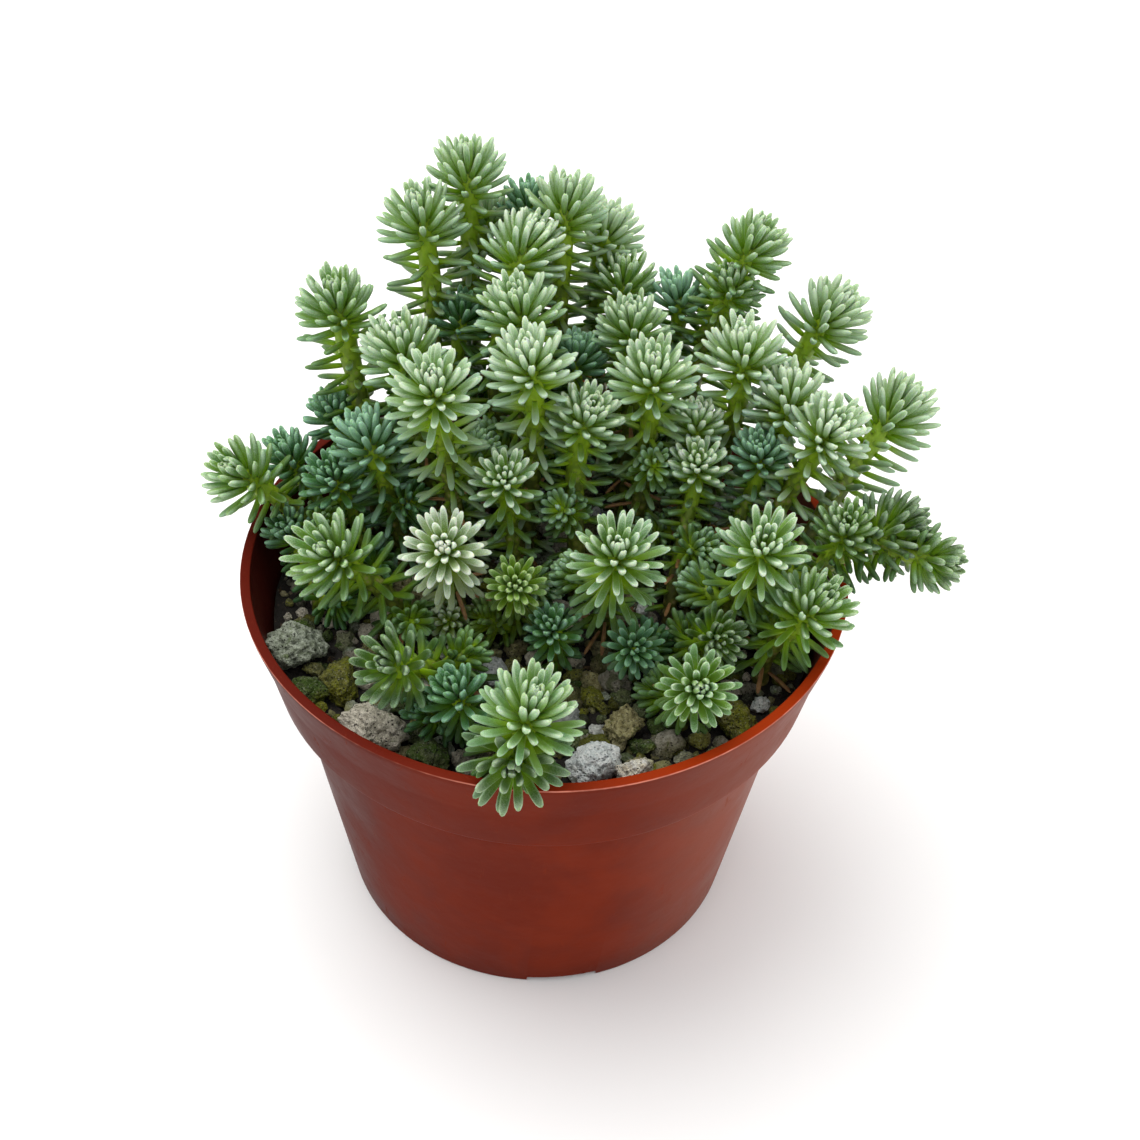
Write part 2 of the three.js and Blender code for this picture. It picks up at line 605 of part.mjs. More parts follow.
// All shoots with their rings, then all leaves, the upper whorls of every shoot first
function growShoots() {
  const random = seeded(7);
  const shoots = STEMS.flatMap((stem, index) => shootsOf(stem, index));
  const bars = [];
  shoots.forEach((shoot) => {
    shoot.rings = placeRings(shoot, random);
    shoot.leaves = new Map();
    for (let distance = 0; distance < shoot.path.total - 1; distance += 3) {
      const from = shoot.path.at(distance).point;
      const to = shoot.path.at(Math.min(distance + 3, shoot.path.total - 0.5)).point;
      bars.push({ ...bar(from, to, STEM_RADIUS, shoot.node, shoot), isStem: true });
    }
  });
  for (let whorl = 0; whorl < WHORLS.length - 1; whorl += 1) {
    for (let side = 0; side < STEM_SIDES; side += 1) {
      shoots.forEach((shoot) => {
        const ring = shoot.rings[whorl];
        const below = shoot.rings[whorl + 1];
        const skip = ring && ((side * 2 + whorl * 3) % STEM_SIDES) >= ring.leaves;
        if (!ring || !ring.leaves || skip) return;
        const upper = [ring.corners[side], ring.corners[(side + 1) % STEM_SIDES]];
        const base = [...upper, below.corners[side]];
        const leaf = clearLeaf(base, ring, shoot, bars, random);
        if (!leaf) return;
        shoot.leaves.set(`${whorl},${side}`, leaf);
        const inner = leaf.root.clone().lerp(leaf.widest, 0.35);
        bars.push(bar(inner, leaf.widest, LEAF_REACH, shoot.node, shoot));
        bars.push(bar(leaf.widest, leaf.tip, LEAF_REACH * 0.9, shoot.node, shoot));
      });
    }
  }
  return shoots;
}

// A shoot as one closed solid: a pointed tip, bands between the rings and a flat bottom, with
// each leaf raised from its own triangle of a band
function shootGeometry(shoot) {
  const points = [];
  const triangles = [];
  const add = (point) => points.push(point) - 1;
  const rows = shoot.rings.map((ring) => ring.corners.map(add));
  const top = shoot.rings[0];
  const apex = add(top.frame.point.clone().addScaledVector(top.frame.ahead, 0.7));

  rows[0].forEach((corner, side) => {
    triangles.push([corner, rows[0][(side + 1) % STEM_SIDES], apex]);
  });
  for (let index = 0; index < rows.length - 1; index += 1) {
    for (let side = 0; side < STEM_SIDES; side += 1) {
      const next = (side + 1) % STEM_SIDES;
      const left = rows[index][side];
      const right = rows[index][next];
      const keel = rows[index + 1][side];
      triangles.push([keel, rows[index + 1][next], right]);
      const leaf = shoot.leaves.get(`${index},${side}`);
      if (leaf) {
        raiseLeaf(points, triangles, add, [left, right, keel], leaf);
      } else {
        triangles.push([left, keel, right]);
      }
    }
  }
  const bottom = rows[rows.length - 1];
  for (let side = 1; side < STEM_SIDES - 1; side += 1) {
    triangles.push([bottom[0], bottom[side + 1], bottom[side]]);
  }
  return facets(points, triangles);
}

function raiseLeaf(points, triangles, add, [left, right, keel], leaf) {
  const width = points[right].clone().sub(points[left]);
  width.addScaledVector(leaf.start, -width.dot(leaf.start)).normalize();
  const upper = leaf.start.clone().cross(width).normalize();
  const half = (LEAF_WIDTH / 2) * Math.min(1, leaf.length / 4.6);
  const outLeft = add(leaf.widest.clone().addScaledVector(width, -half).addScaledVector(upper, LEAF_RISE));
  const outRight = add(leaf.widest.clone().addScaledVector(width, half).addScaledVector(upper, LEAF_RISE));
  const outKeel = add(leaf.widest.clone().addScaledVector(upper, -LEAF_KEEL));
  const tip = add(leaf.tip);
  triangles.push([left, keel, outKeel], [left, outKeel, outLeft]);
  triangles.push([keel, right, outRight], [keel, outRight, outKeel]);
  triangles.push([right, left, outLeft], [right, outLeft, outRight]);
  triangles.push([outLeft, outKeel, tip], [outKeel, outRight, tip], [outRight, outLeft, tip]);
}

// The scene
const potted = new THREE.Group();

function place(name, geometry, tone, roughness) {
  const material = new THREE.MeshStandardMaterial({ color: COLOURS[tone], roughness, metalness: 0 });
  const mesh = new THREE.Mesh(geometry, material);
  mesh.name = name;
  potted.add(mesh);
  return mesh;
}

place('pot', potGeometry(), 'pot', 0.4);
place('potting_mix', soilGeometry(), 'soil', 0.95);

STONES.forEach(({ name, at, size, tone }, index) => {
  const stone = place(name, stoneGeometry(size, 1, 300 + index, STONE_FLAT), tone, 0.95);
  stone.position.set(at[0], at[1], SOIL_TOP + GAP + size[2] * STONE_FLAT);
});

const shoots = growShoots();
STEMS.forEach(({ name, tone }, index) => {
  const parts = shoots.filter(({ node }) => node === index).map((shoot) => solid(shootGeometry(shoot)));
  const joined = parts.reduce((whole, part) => whole.add(part));
  place(name, geometryOf(joined), tone, 0.7);
});

export default potted;
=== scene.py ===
import json
import math
import random

import bpy
from mathutils import Matrix, Vector, noise

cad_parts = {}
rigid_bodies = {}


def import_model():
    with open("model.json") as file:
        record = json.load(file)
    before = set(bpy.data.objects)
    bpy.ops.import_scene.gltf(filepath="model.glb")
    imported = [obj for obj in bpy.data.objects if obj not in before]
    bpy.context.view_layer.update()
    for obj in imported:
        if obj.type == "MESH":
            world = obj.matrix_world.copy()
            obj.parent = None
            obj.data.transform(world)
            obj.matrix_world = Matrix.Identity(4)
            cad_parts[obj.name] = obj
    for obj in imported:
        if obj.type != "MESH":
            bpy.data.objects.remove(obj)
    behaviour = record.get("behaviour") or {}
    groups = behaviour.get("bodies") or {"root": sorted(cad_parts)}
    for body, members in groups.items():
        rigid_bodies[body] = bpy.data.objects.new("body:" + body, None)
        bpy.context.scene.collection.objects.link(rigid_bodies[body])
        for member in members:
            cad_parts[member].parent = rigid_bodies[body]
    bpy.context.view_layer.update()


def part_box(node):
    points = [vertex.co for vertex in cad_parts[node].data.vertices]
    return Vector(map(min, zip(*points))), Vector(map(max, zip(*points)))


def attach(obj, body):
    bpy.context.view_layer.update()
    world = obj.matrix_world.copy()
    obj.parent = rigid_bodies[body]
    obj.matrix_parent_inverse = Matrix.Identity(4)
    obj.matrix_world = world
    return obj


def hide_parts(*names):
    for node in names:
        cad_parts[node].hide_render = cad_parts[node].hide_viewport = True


bl_info = {
    "name": "Potted Stonecrop",
    "version": (1, 0, 0),
    "blender": (4, 5, 0),
    "location": "View3D > Sidebar > Stonecrop",
    "description": "Adds a clump of frosted leafy stems in a thin round nursery pot",
    "category": "Add Mesh",
}

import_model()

MM = 0.001
_, POT_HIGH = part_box("pot")

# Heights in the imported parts, in millimetres
POT_TOP = 62.0
SOIL_TOP = 53.0
STEM_BOTTOM = 46.5
STEM_STRAIGHT_TOP = 54.5
STONE_GAP = 0.3

# How far a stem keeps its first and its last direction, as shares of the way to its head
CURVE_RISE = 0.35
CURVE_LEAD = 0.4

# Share of a stone's half height that lies between its middle and its flat underside
STONE_FLAT = 0.7

# The pot's radii and heights, how far its collar and lip reach down and in, the ring of its
# drain holes and the radius of the mix's top, in millimetres
RIM_RADIUS = 45.0
WALL = 1.1
PAD_RADIUS = 12.0
FOOT_INSIDE = 29.2
FOOT_HEIGHT = 1.2
BASE_RADIUS = 31.2
FLOOR_TOP = 2.4
BODY_RADIUS = 34.8
BODY_HEIGHT = 22.0
SHOULDER_RADIUS = 38.3
SHOULDER_HEIGHT = 43.8
COLLAR_DROP = 16.5
COLLAR_TAPER = 4.0
LIP_DROP = 1.4
LIP_WIDTH = 1.8
DRAIN_RADIUS = 3.0
DRAIN_CIRCLE = 20.5
MIX_RADIUS = 40.75

# The notches of the foot: their number, their size in millimetres and the first one's turn
NOTCHES = 4
NOTCH_SIZE = (9.6, 11.0, 2.38)
NOTCH_TURN = 8.0

# The photo's side, the camera's focal length and the pot's middle, in the photo's pixels
PHOTO_SIDE = 1140
PHOTO_FOCAL = 2014
PHOTO_AIM = (544.5, 560.5)


def stem(name, foot, tip, lean, leaf, leafy, tone, branches=(), rising=(0, 0)):
    """A stem: its foot (x, y) in the mix, the middle of its head (x, y, z), the head's heading
    and lean from upright, the lengths of a leaf and of the leafy part, and its finish"""
    return {
        "name": name, "foot": foot, "tip": tip, "lean": lean, "leaf": leaf,
        "leafy": leafy, "tone": tone, "branches": branches, "rising": rising,
    }


def branch(at, tip, lean, leaf, leafy):
    """A side shoot: its share of the way up its stem, then the same sizes"""
    return {"at": at, "tip": tip, "lean": lean, "leaf": leaf, "leafy": leafy}


# Stems, placed where the photo shows their heads
STEMS = [
    stem("back_1", (-12, 31), (-13, 41, 105), (100, 10), 6.6, 14, "green", (
        branch(0.62, (-9, 44, 95), (60, 30), 4.6, 5),
    )),
    stem("back_2", (-19, 25), (-20, 34, 101), (175, 12), 6.8, 20, "green"),
    stem("back_3", (2, 27), (2, 37, 102), (60, 8), 6.7, 14, "green"),
    stem("back_4", (-4, 33), (-4, 43, 98), (110, 12), 5.2, 7, "blue"),
    stem("back_5", (9, 32), (9, 41, 95), (30, 20), 5.8, 12, "green"),
    stem("back_6", (-7, 21), (-3, 30, 99), (20, 28), 6.8, 14, "frosted"),
    stem("back_7", (12, 26), (11, 35, 90), (90, 6), 5.8, 10, "green"),
    stem("back_8", (21, 24), (31, 33, 98), (5, 30), 6, 20, "green", (
        branch(0.6, (27, 31, 92), (200, 8), 5, 7),
    )),
    stem("back_9", (15, 31), (19, 34, 88), (150, 15), 5.4, 8, "blue"),
    stem("back_10", (-13, 25), (-13, 29, 87), (40, 15), 5, 5, "blue"),
    stem("middle_1", (-26, 15), (-32, 24, 92), (200, 10), 6.8, 20, "green"),
    stem("middle_2", (-6, 13), (-5, 18, 96), (200, 14), 6.8, 12, "frosted"),
    stem("middle_3", (12, 19), (12, 23, 90), (180, 6), 6, 10, "frosted"),
    stem("middle_4", (32, 15), (43, 27, 90), (350, 32), 6.9, 14, "green"),
    stem("middle_5", (24, 14), (28, 16, 91), (180, 8), 6.8, 15, "frosted"),
    stem("middle_6", (-17, 11), (-22, 16, 90), (190, 12), 6.8, 10, "frosted"),
    stem("middle_7", (-13, 5), (-16, 0, 95), (262, 22), 7, 18, "frosted"),
    stem("middle_8", (-3, 7), (-3, 7, 95), (215, 12), 6.7, 15, "frosted"),
    stem("middle_9", (14, 9), (15, 10, 91), (265, 12), 6.7, 14, "frosted"),
    stem("middle_10", (5, 1), (6, 6, 86), (320, 20), 5.6, 16, "frosted"),
    stem("middle_11", (4, 19), (4, 22, 85), (80, 10), 5, 4, "blue"),
    stem("right_1", (29, 9), (35, 13, 86), (120, 14), 6.4, 8, "frosted"),
    stem("right_2", (31, 2), (41, 5, 85), (300, 25), 6.7, 14, "frosted"),
    stem("right_3", (36, -3), (53, 16, 81), (10, 32), 6.9, 23, "green"),
    stem("right_4", (20, 8), (22, 12, 81), (90, 5), 4.6, 5, "frosted"),
    stem("right_5", (19, -3), (22, 5, 78), (262, 30), 5, 8, "frosted"),
    stem("right_6", (25, 2), (31, 7, 79), (230, 20), 5, 6, "blue"),
    stem("right_7", (33, -9), (52, -4, 74), (352, 62), 6.4, 10, "green", (
        branch(0.72, (57, -9, 72), (335, 75), 5.2, 6),
        branch(0.5, (43, -6, 76), (250, 25), 5.2, 5),
    )),
    stem("left_1", (-33, 6), (-46, 6, 73), (225, 38), 6.7, 7, "green"),
    stem("left_2", (-33, 12), (-40, 15, 70), (170, 20), 5, 5, "blue"),
    stem("left_3", (-27, 6), (-32, 6, 73), (245, 25), 5.4, 7, "blue"),
    stem("left_4", (-22, 8), (-27, 9, 79), (160, 18), 6, 8, "blue"),
    stem("left_5", (-28, 22), (-33, 21, 74), (150, 12), 5, 5, "blue"),
    stem("left_6", (-34, -2), (-39, 3, 65), (250, 40), 4.4, 4, "blue"),
    stem("left_7", (-20, -8), (-31, -11, 73), (250, 36), 7.2, 10, "green"),
    stem("front_1", (-4, -1), (-6, -2, 80), (270, 34), 5.4, 8, "frosted"),
    stem("front_2", (-13, -5), (-14, -14, 77), (270, 40), 6.4, 8, "white"),
    stem("front_3", (-4, -7), (-4, -16, 72), (272, 42), 4.6, 5, "yellow"),
    stem("front_4", (9, -8), (10, -18, 81), (268, 24), 7, 13, "frosted"),
    stem("front_5", (2, -14), (1, -18, 66), (240, 30), 4.4, 5, "blue"),
    stem("front_6", (13, -15), (13, -21, 65), (280, 46), 4.4, 5, "blue"),
    stem("front_7", (26, -9), (30, -16, 81), (262, 26), 6.8, 14, "frosted"),
    stem("front_8", (32, -15), (38, -20, 74), (330, 22), 6.6, 9, "green"),
    stem("front_9", (20, -24), (21, -34, 71), (270, 40), 5.6, 6, "green"),
    stem("front_10", (-11, -20), (-21, -30, 70), (235, 38), 6.2, 8, "green"),
    stem("front_11", (-5, -28), (-1, -43, 77), (350, 12), 7.2, 13, "frosted", (
        branch(0.52, (-3.4, -45.8, 67.2), (264, 52), 8.0, 3),
    ), (275, 64)),
    stem("front_12", (-11, -27), (-12, -31, 67), (160, 25), 5, 5, "blue"),
    stem("front_13", (21, -14), (25, -20, 66), (285, 55), 5, 6, "green"),
]

# Loose stones: name, middle (x, y), half sizes, record slot and pore depth
STONES = [
    ("pumice_left", (-36, -12), (3.9, 3.6, 3.1), "stone_grey", 0.30),
    ("pumice_front_left", (-23.5, -28.5), (3.9, 3.6, 3), "stone_speckled", 0.26),
    ("pumice_front", (7.5, -34), (3, 3.5, 2.7), "stone_pale", 0.26),
    ("cream_front", (12.8, -36.2), (2.5, 2.2, 3.0), "stone_cream", 0.3),
    ("tan_front", (11.5, -26.5), (2.6, 2.7, 2.4), "stone_tan", 0.22),
    ("olive_right", (28, -25), (2.7, 2.9, 2.3), "stone_olive", 0.14),
    ("olive_left", (-29, -19), (2.4, 3.3, 2.4), "stone_olive", 0.14),
    ("mossy_front", (-15, -33.5), (2.9, 2.4, 2.1), "stone_moss", 0.16),
    ("green_left", (-33.5, -20.5), (2.7, 2.2, 1.9), "stone_moss", 0.14),
    ("grey_middle", (-12.5, -12.5), (2.2, 2.2, 2), "stone_grey", 0.16),
]


def srgb(red, green, blue):
    """A colour given as 0 to 255 on screen, as the linear values that Blender keeps"""
    def linear(value):
        share = value / 255
        return share / 12.92 if share <= 0.04045 else ((share + 0.055) / 1.055) ** 2.4
    return (linear(red), linear(green), linear(blue), 1.0)


def clamped(value):
    """A value kept between 0 and 1"""
    return min(1.0, max(0.0, value))


def length_property(name, description, default, low, high):
    return bpy.props.FloatProperty(
        name=name, description=description, default=default, min=low, max=high,
        unit="LENGTH", precision=5,
    )


def count_property(name, description, default, low, high):
    return bpy.props.IntProperty(
        name=name, description=description, default=default, min=low, max=high)


def power_property(name, description, default):
    return bpy.props.FloatProperty(
        name=name, description=description, default=default, min=0.0, max=200.0, unit="POWER")


def share_property(name, description, default):
    return bpy.props.FloatProperty(
        name=name, description=description, default=default, min=0.0, max=1.0, subtype="FACTOR",
    )


def colour_property(name, description, default):
    return bpy.props.FloatVectorProperty(
        name=name, description=description, default=default, size=4, min=0.0, max=1.0,
        subtype="COLOR",
    )


class PotSettings(bpy.types.PropertyGroup):
    rim_radius: length_property(
        "Rim Radius", "Half the width of the pot across its lip", POT_HIGH.x, 0.03, 0.07)
    height: length_property("Height", "Height of the pot", POT_HIGH.z, 0.04, 0.1)
    wall: length_property("Wall", "Thickness of the moulded wall", WALL * MM, 0.0006, 0.003)
    sides: count_property("Sides", "Faces round the pot", 128, 48, 256)
    drain_holes: count_property("Drain Holes", "Holes in the floor of the pot", 6, 0, 12)
    warp: length_property(
        "Warp", "How far the thin wall is out of round", 0.12 * MM, 0.0, 0.001)
    colour: colour_property("Colour", "Colour of the plastic", srgb(112, 37, 17))
    deep_colour: colour_property(
        "Deep Colour", "Colour of the plastic where it is darker", srgb(96, 29, 13))
    scuffs: share_property("Scuffs", "How scratched and dusty the plastic is", 0.45)


class MixSettings(bpy.types.PropertyGroup):
    lumps: length_property("Lumps", "Height of the crumbs of the mix", 0.9 * MM, 0.0, 0.003)
    gravel_spacing: length_property(
        "Gravel Spacing", "Least distance between gravel stones", 3.15 * MM, 0.002, 0.01)
    gravel_size: length_property(
        "Gravel Size", "Half the size of a gravel stone", 2.25 * MM, 0.001, 0.005)
    grit_spacing: length_property(
        "Grit Spacing", "Least distance between grit grains", 1.65 * MM, 0.001, 0.01)
    grit_size: length_property(
        "Grit Size", "Half the size of a grit grain", 1.15 * MM, 0.0005, 0.004)
    crumb_spacing: length_property(
        "Crumb Spacing", "Least distance between crumbs of bark and peat", 1.7 * MM, 0.0008, 0.005)
    crumb_size: length_property("Crumb Size", "Half the size of a crumb", 0.75 * MM, 0.0002, 0.002)
    litter_spacing: length_property(
        "Litter Spacing", "Least distance between fallen dry leaves", 3.1 * MM, 0.001, 0.02)
    litter_size: length_property(
        "Litter Size", "Width of a fallen dry leaf", 0.95 * MM, 0.0003, 0.003)
    colour: colour_property("Colour", "Colour of the damp mix", srgb(34, 28, 22))
    seed: count_property("Seed", "Places of the gravel, grit, crumbs and dry leaves", 7, 0, 1000)


class StoneSettings(bpy.types.PropertyGroup):
    detail: count_property("Detail", "Subdivisions of a loose stone", 5, 3, 6)
    lumps: share_property("Lumps", "How uneven a stone's outline is", 0.3)
    pores: share_property("Pores", "How deep the pores of the pumice are", 1.0)


class PlantSettings(bpy.types.PropertyGroup):
    divergence: bpy.props.FloatProperty(
        name="Divergence", description="Turn from one leaf to the next round the stem",
        default=math.radians(137.5), min=0.0, max=math.pi, subtype="ANGLE", unit="ROTATION")
    head_leaves: count_property(
        "Head Leaves", "Leaves from the bud to the widest ring of a head", 50, 10, 90)
    leaf_step: length_property(
        "Leaf Step", "Rise from one leaf to the next below the head", 0.41 * MM, 0.0002, 0.002)
    leaf_width: length_property(
        "Leaf Width", "Width of a full-grown leaf", 1.5 * MM, 0.0005, 0.004)
    leaf_thickness: length_property(
        "Leaf Thickness", "Thickness of a full-grown leaf", 1.15 * MM, 0.0003, 0.003)
    stem_radius: length_property(
        "Stem Radius", "Half the thickness of a stem", 1.2 * MM, 0.0005, 0.004)
    knobbles: length_property(
        "Knobbles", "Height of the old leaf scars on a stem", 0.42 * MM, 0.0, 0.001)
    droop: share_property("Droop", "How far the tips of the lower leaves hang", 0.3)
    sprouts: count_property("Sprouts", "Most young shoots low on one stem", 1, 0, 4)
    withered: share_property("Withered", "Share of the lowest leaves that are brown", 0.3)
    frost: share_property("Frost", "How thick the pale bloom on the leaves is", 1.0)


class StageSettings(bpy.types.PropertyGroup):
    floor_radius: length_property("Floor Radius", "Half the width of the floor", 1.6, 0.3, 5.0)
    floor_colour: colour_property("Floor Colour", "Colour of the floor", (0.95, 0.95, 0.95, 1.0))
    sky_strength: bpy.props.FloatProperty(
        name="Sky Strength", description="Strength of the even light from all sides",
        default=0.98, min=0.0, max=5.0)
    key_power: power_property("Key Power", "Power of the main soft light", 8.5)
    fill_power: power_property("Fill Power", "Power of the weak light from the front", 0.6)


class Wiring:
    """Adds nodes to a tree and joins them up, so that a tree reads from top to bottom"""

    def __init__(self, tree):
        self.tree = tree
        self.column = 0

    def node(self, kind, inputs=(), **settings):
        made = self.tree.nodes.new(kind)
        made.location = (self.column * 180, 0)
        self.column += 1
        for name, value in settings.items():
            setattr(made, name, value)
        for name, value in dict(inputs).items():
            self.fill(made, name, value)
        return made

    def fill(self, made, name, value):
        if isinstance(name, int):
            socket = made.inputs[name]
        else:
            socket = next(s for s in made.inputs if s.name == name and s.enabled)
        if isinstance(value, bpy.types.Node):
            value = self.out(value)
        if isinstance(value, bpy.types.NodeSocket):
            self.tree.links.new(value, socket)
        else:
            socket.default_value = value

    @staticmethod
    def out(made, name=None):
        return next(s for s in made.outputs if s.enabled and name in (None, s.name))

    def math(self, operation, first, second=0.0):
        return self.node("ShaderNodeMath", {0: first, 1: second}, operation=operation)

    def plus(self, first, second):
        return self.math("ADD", first, second)

    def minus(self, first, second):
        return self.math("SUBTRACT", first, second)

    def times(self, first, second):
        return self.math("MULTIPLY", first, second)

    def vector(self, operation, first, second):
        name = 3 if operation == "SCALE" else 1
        return self.node("ShaderNodeVectorMath", {0: first, name: second}, operation=operation)

    def ranged(self, value, low, high, to_low=0.0, to_high=1.0):
        """A smooth step from one range to another"""
        return self.node("ShaderNodeMapRange", {
            "Value": value, "From Min": low, "From Max": high, "To Min": to_low, "To Max": to_high,
        }, interpolation_type="SMOOTHSTEP")

    def mixed(self, share, first, second):
        """Two colours mixed by a share"""
        made = self.node("ShaderNodeMix", data_type="RGBA", blend_type="MIX")
        self.fill(made, "Factor", share)
        self.fill(made, "A", first)
        self.fill(made, "B", second)
        return self.out(made)


class ShapeTree(Wiring):
    """A geometry node tree with named inputs, which turns a base mesh into a finished one"""

    def __init__(self, name, inputs):
        super().__init__(bpy.data.node_groups.new(name, "GeometryNodeTree"))
        sockets = self.tree.interface
        sockets.new_socket("Geometry", in_out="INPUT", socket_type="NodeSocketGeometry")
        for label, kind in inputs:
            sockets.new_socket(label, in_out="INPUT", socket_type="NodeSocket" + kind)
        sockets.new_socket("Geometry", in_out="OUTPUT", socket_type="NodeSocketGeometry")
        self.inlet = self.node("NodeGroupInput")

    def given(self, label):
        return self.inlet.outputs[label]

    def attribute(self, name, kind="FLOAT"):
        made = self.node("GeometryNodeInputNamedAttribute", {"Name": name}, data_type=kind)
        return self.out(made)

    def chance(self, low, high, seed, kind="FLOAT", number=None):
        """A random value for each element, or one for all of them if it has a number"""
        made = self.node(
            "FunctionNodeRandomValue", {"Min": low, "Max": high, "Seed": seed}, data_type=kind)
        if number is not None:
            self.fill(made, "ID", self.node("FunctionNodeInputInt", integer=number))
        return self.out(made)

    def close(self, geometry, coats):
        """Joins the outlet after Realize Instances and one Set Material for each coat"""
        last = self.node("GeometryNodeRealizeInstances", {"Geometry": geometry})
        for material, selection in coats:
            last = self.node("GeometryNodeSetMaterial", {"Geometry": last, "Material": material})
            if selection is not None:
                self.fill(last, "Selection", selection)
        outlet = self.node("NodeGroupOutput")
        self.tree.links.new(self.out(last), outlet.inputs["Geometry"])

    def grow(self, name, base, values):
        """Runs the tree on a base mesh and keeps the result as a plain mesh object"""
        made = added(name, base)
        modifier = made.modifiers.new("Shape", "NODES")
        modifier.node_group = self.tree
        for socket in self.tree.interface.items_tree:
            if socket.item_type == "SOCKET" and socket.in_out == "INPUT" and socket.name in values:
                modifier[socket.identifier] = values[socket.name]
        depsgraph = bpy.context.evaluated_depsgraph_get()
        depsgraph.update()
        result = bpy.data.meshes.new_from_object(
            made.evaluated_get(depsgraph), preserve_all_data_layers=True, depsgraph=depsgraph)
        made.modifiers.remove(modifier)
        made.data = result
        result.name = name
        if not result.polygons:
            raise RuntimeError(f"{name} came out of its node tree with no faces")
        return made


def added(name, data):
    """A new object in the scene"""
    made = bpy.data.objects.new(name, data)
    bpy.context.scene.collection.objects.link(made)
    return made


def carry(mesh, name, values, kind="FLOAT"):
    """Gives a mesh a value on each of its points"""
    layer = mesh.attributes.new(name, kind, "POINT").data
    if kind == "FLOAT_VECTOR":
        layer.foreach_set("vector", [part for value in values for part in value])
    else:
        layer.foreach_set("value", values)


def band(low, high, sides, inward=False):
    """Faces between two rings of points, given by the first point of each"""
    faces = []
    for side in range(sides):
        after = (side + 1) % sides
        if inward:
            faces.append((low + side, high + side, high + after, low + after))
        else:
            faces.append((low + side, low + after, high + after, high + side))
    return faces


def plain_mesh(name, points, faces=(), edges=()):
    """A mesh from points in millimetres"""
    mesh = bpy.data.meshes.new(name)
    mesh.from_pydata([Vector(point) * MM for point in points], list(edges), list(faces))
    mesh.update()
    return mesh


def finished(piece, nodes, sharp=None):
    """Smooth shading, then the piece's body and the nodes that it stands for"""
    piece.data.shade_smooth()
    if sharp is not None:
        piece.data.set_sharp_from_angle(angle=math.radians(sharp))
    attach(piece, "root")
    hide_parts(*nodes)
    return piece


# Materials

def new_material(name):
    """A node material, its wiring, its shader and its coordinates in millimetres"""
    material = bpy.data.materials.new(name)
    material.use_nodes = True
    material.node_tree.nodes.clear()
    wiring = Wiring(material.node_tree)
    coordinates = wiring.node("ShaderNodeTexCoord")
    scaled = wiring.node("ShaderNodeMapping", {
        "Vector": coordinates.outputs["Object"], "Scale": (1 / MM, 1 / MM, 1 / MM),
    })
    shader = wiring.node("ShaderNodeBsdfPrincipled")
    outlet = wiring.node("ShaderNodeOutputMaterial")
    wiring.tree.links.new(shader.outputs["BSDF"], outlet.inputs["Surface"])
    return material, wiring, shader, wiring.out(scaled)


def speckle(wiring, place, scale, detail=3.0, roughness=0.55, distortion=0.0):
    """Noise from 0 to 1, mostly near its middle"""
    made = wiring.node("ShaderNodeTexNoise", {
        "Vector": place, "Scale": scale, "Detail": detail,
        "Roughness": roughness, "Distortion": distortion,
    })
    return made.outputs[0]


def cells(wiring, place, scale):
    """How far each point is from the middle of its cell"""
    return wiring.out(wiring.node("ShaderNodeTexVoronoi", {"Vector": place, "Scale": scale}))


def bump(wiring, shader, height, distance, strength=1.0):
    made = wiring.node("ShaderNodeBump", {
        "Height": height, "Distance": distance, "Strength": strength,
    })
    wiring.fill(shader, "Normal", made)


def evenly(shader, values):
    """Values that are the same all over a surface, on the shader's own sockets"""
    for name, value in values.items():
        shader.inputs[name].default_value = value


def point_value(wiring, name):
    """A value that a mesh carries on its points"""
    return wiring.node("ShaderNodeAttribute", attribute_name=name).outputs["Fac"]


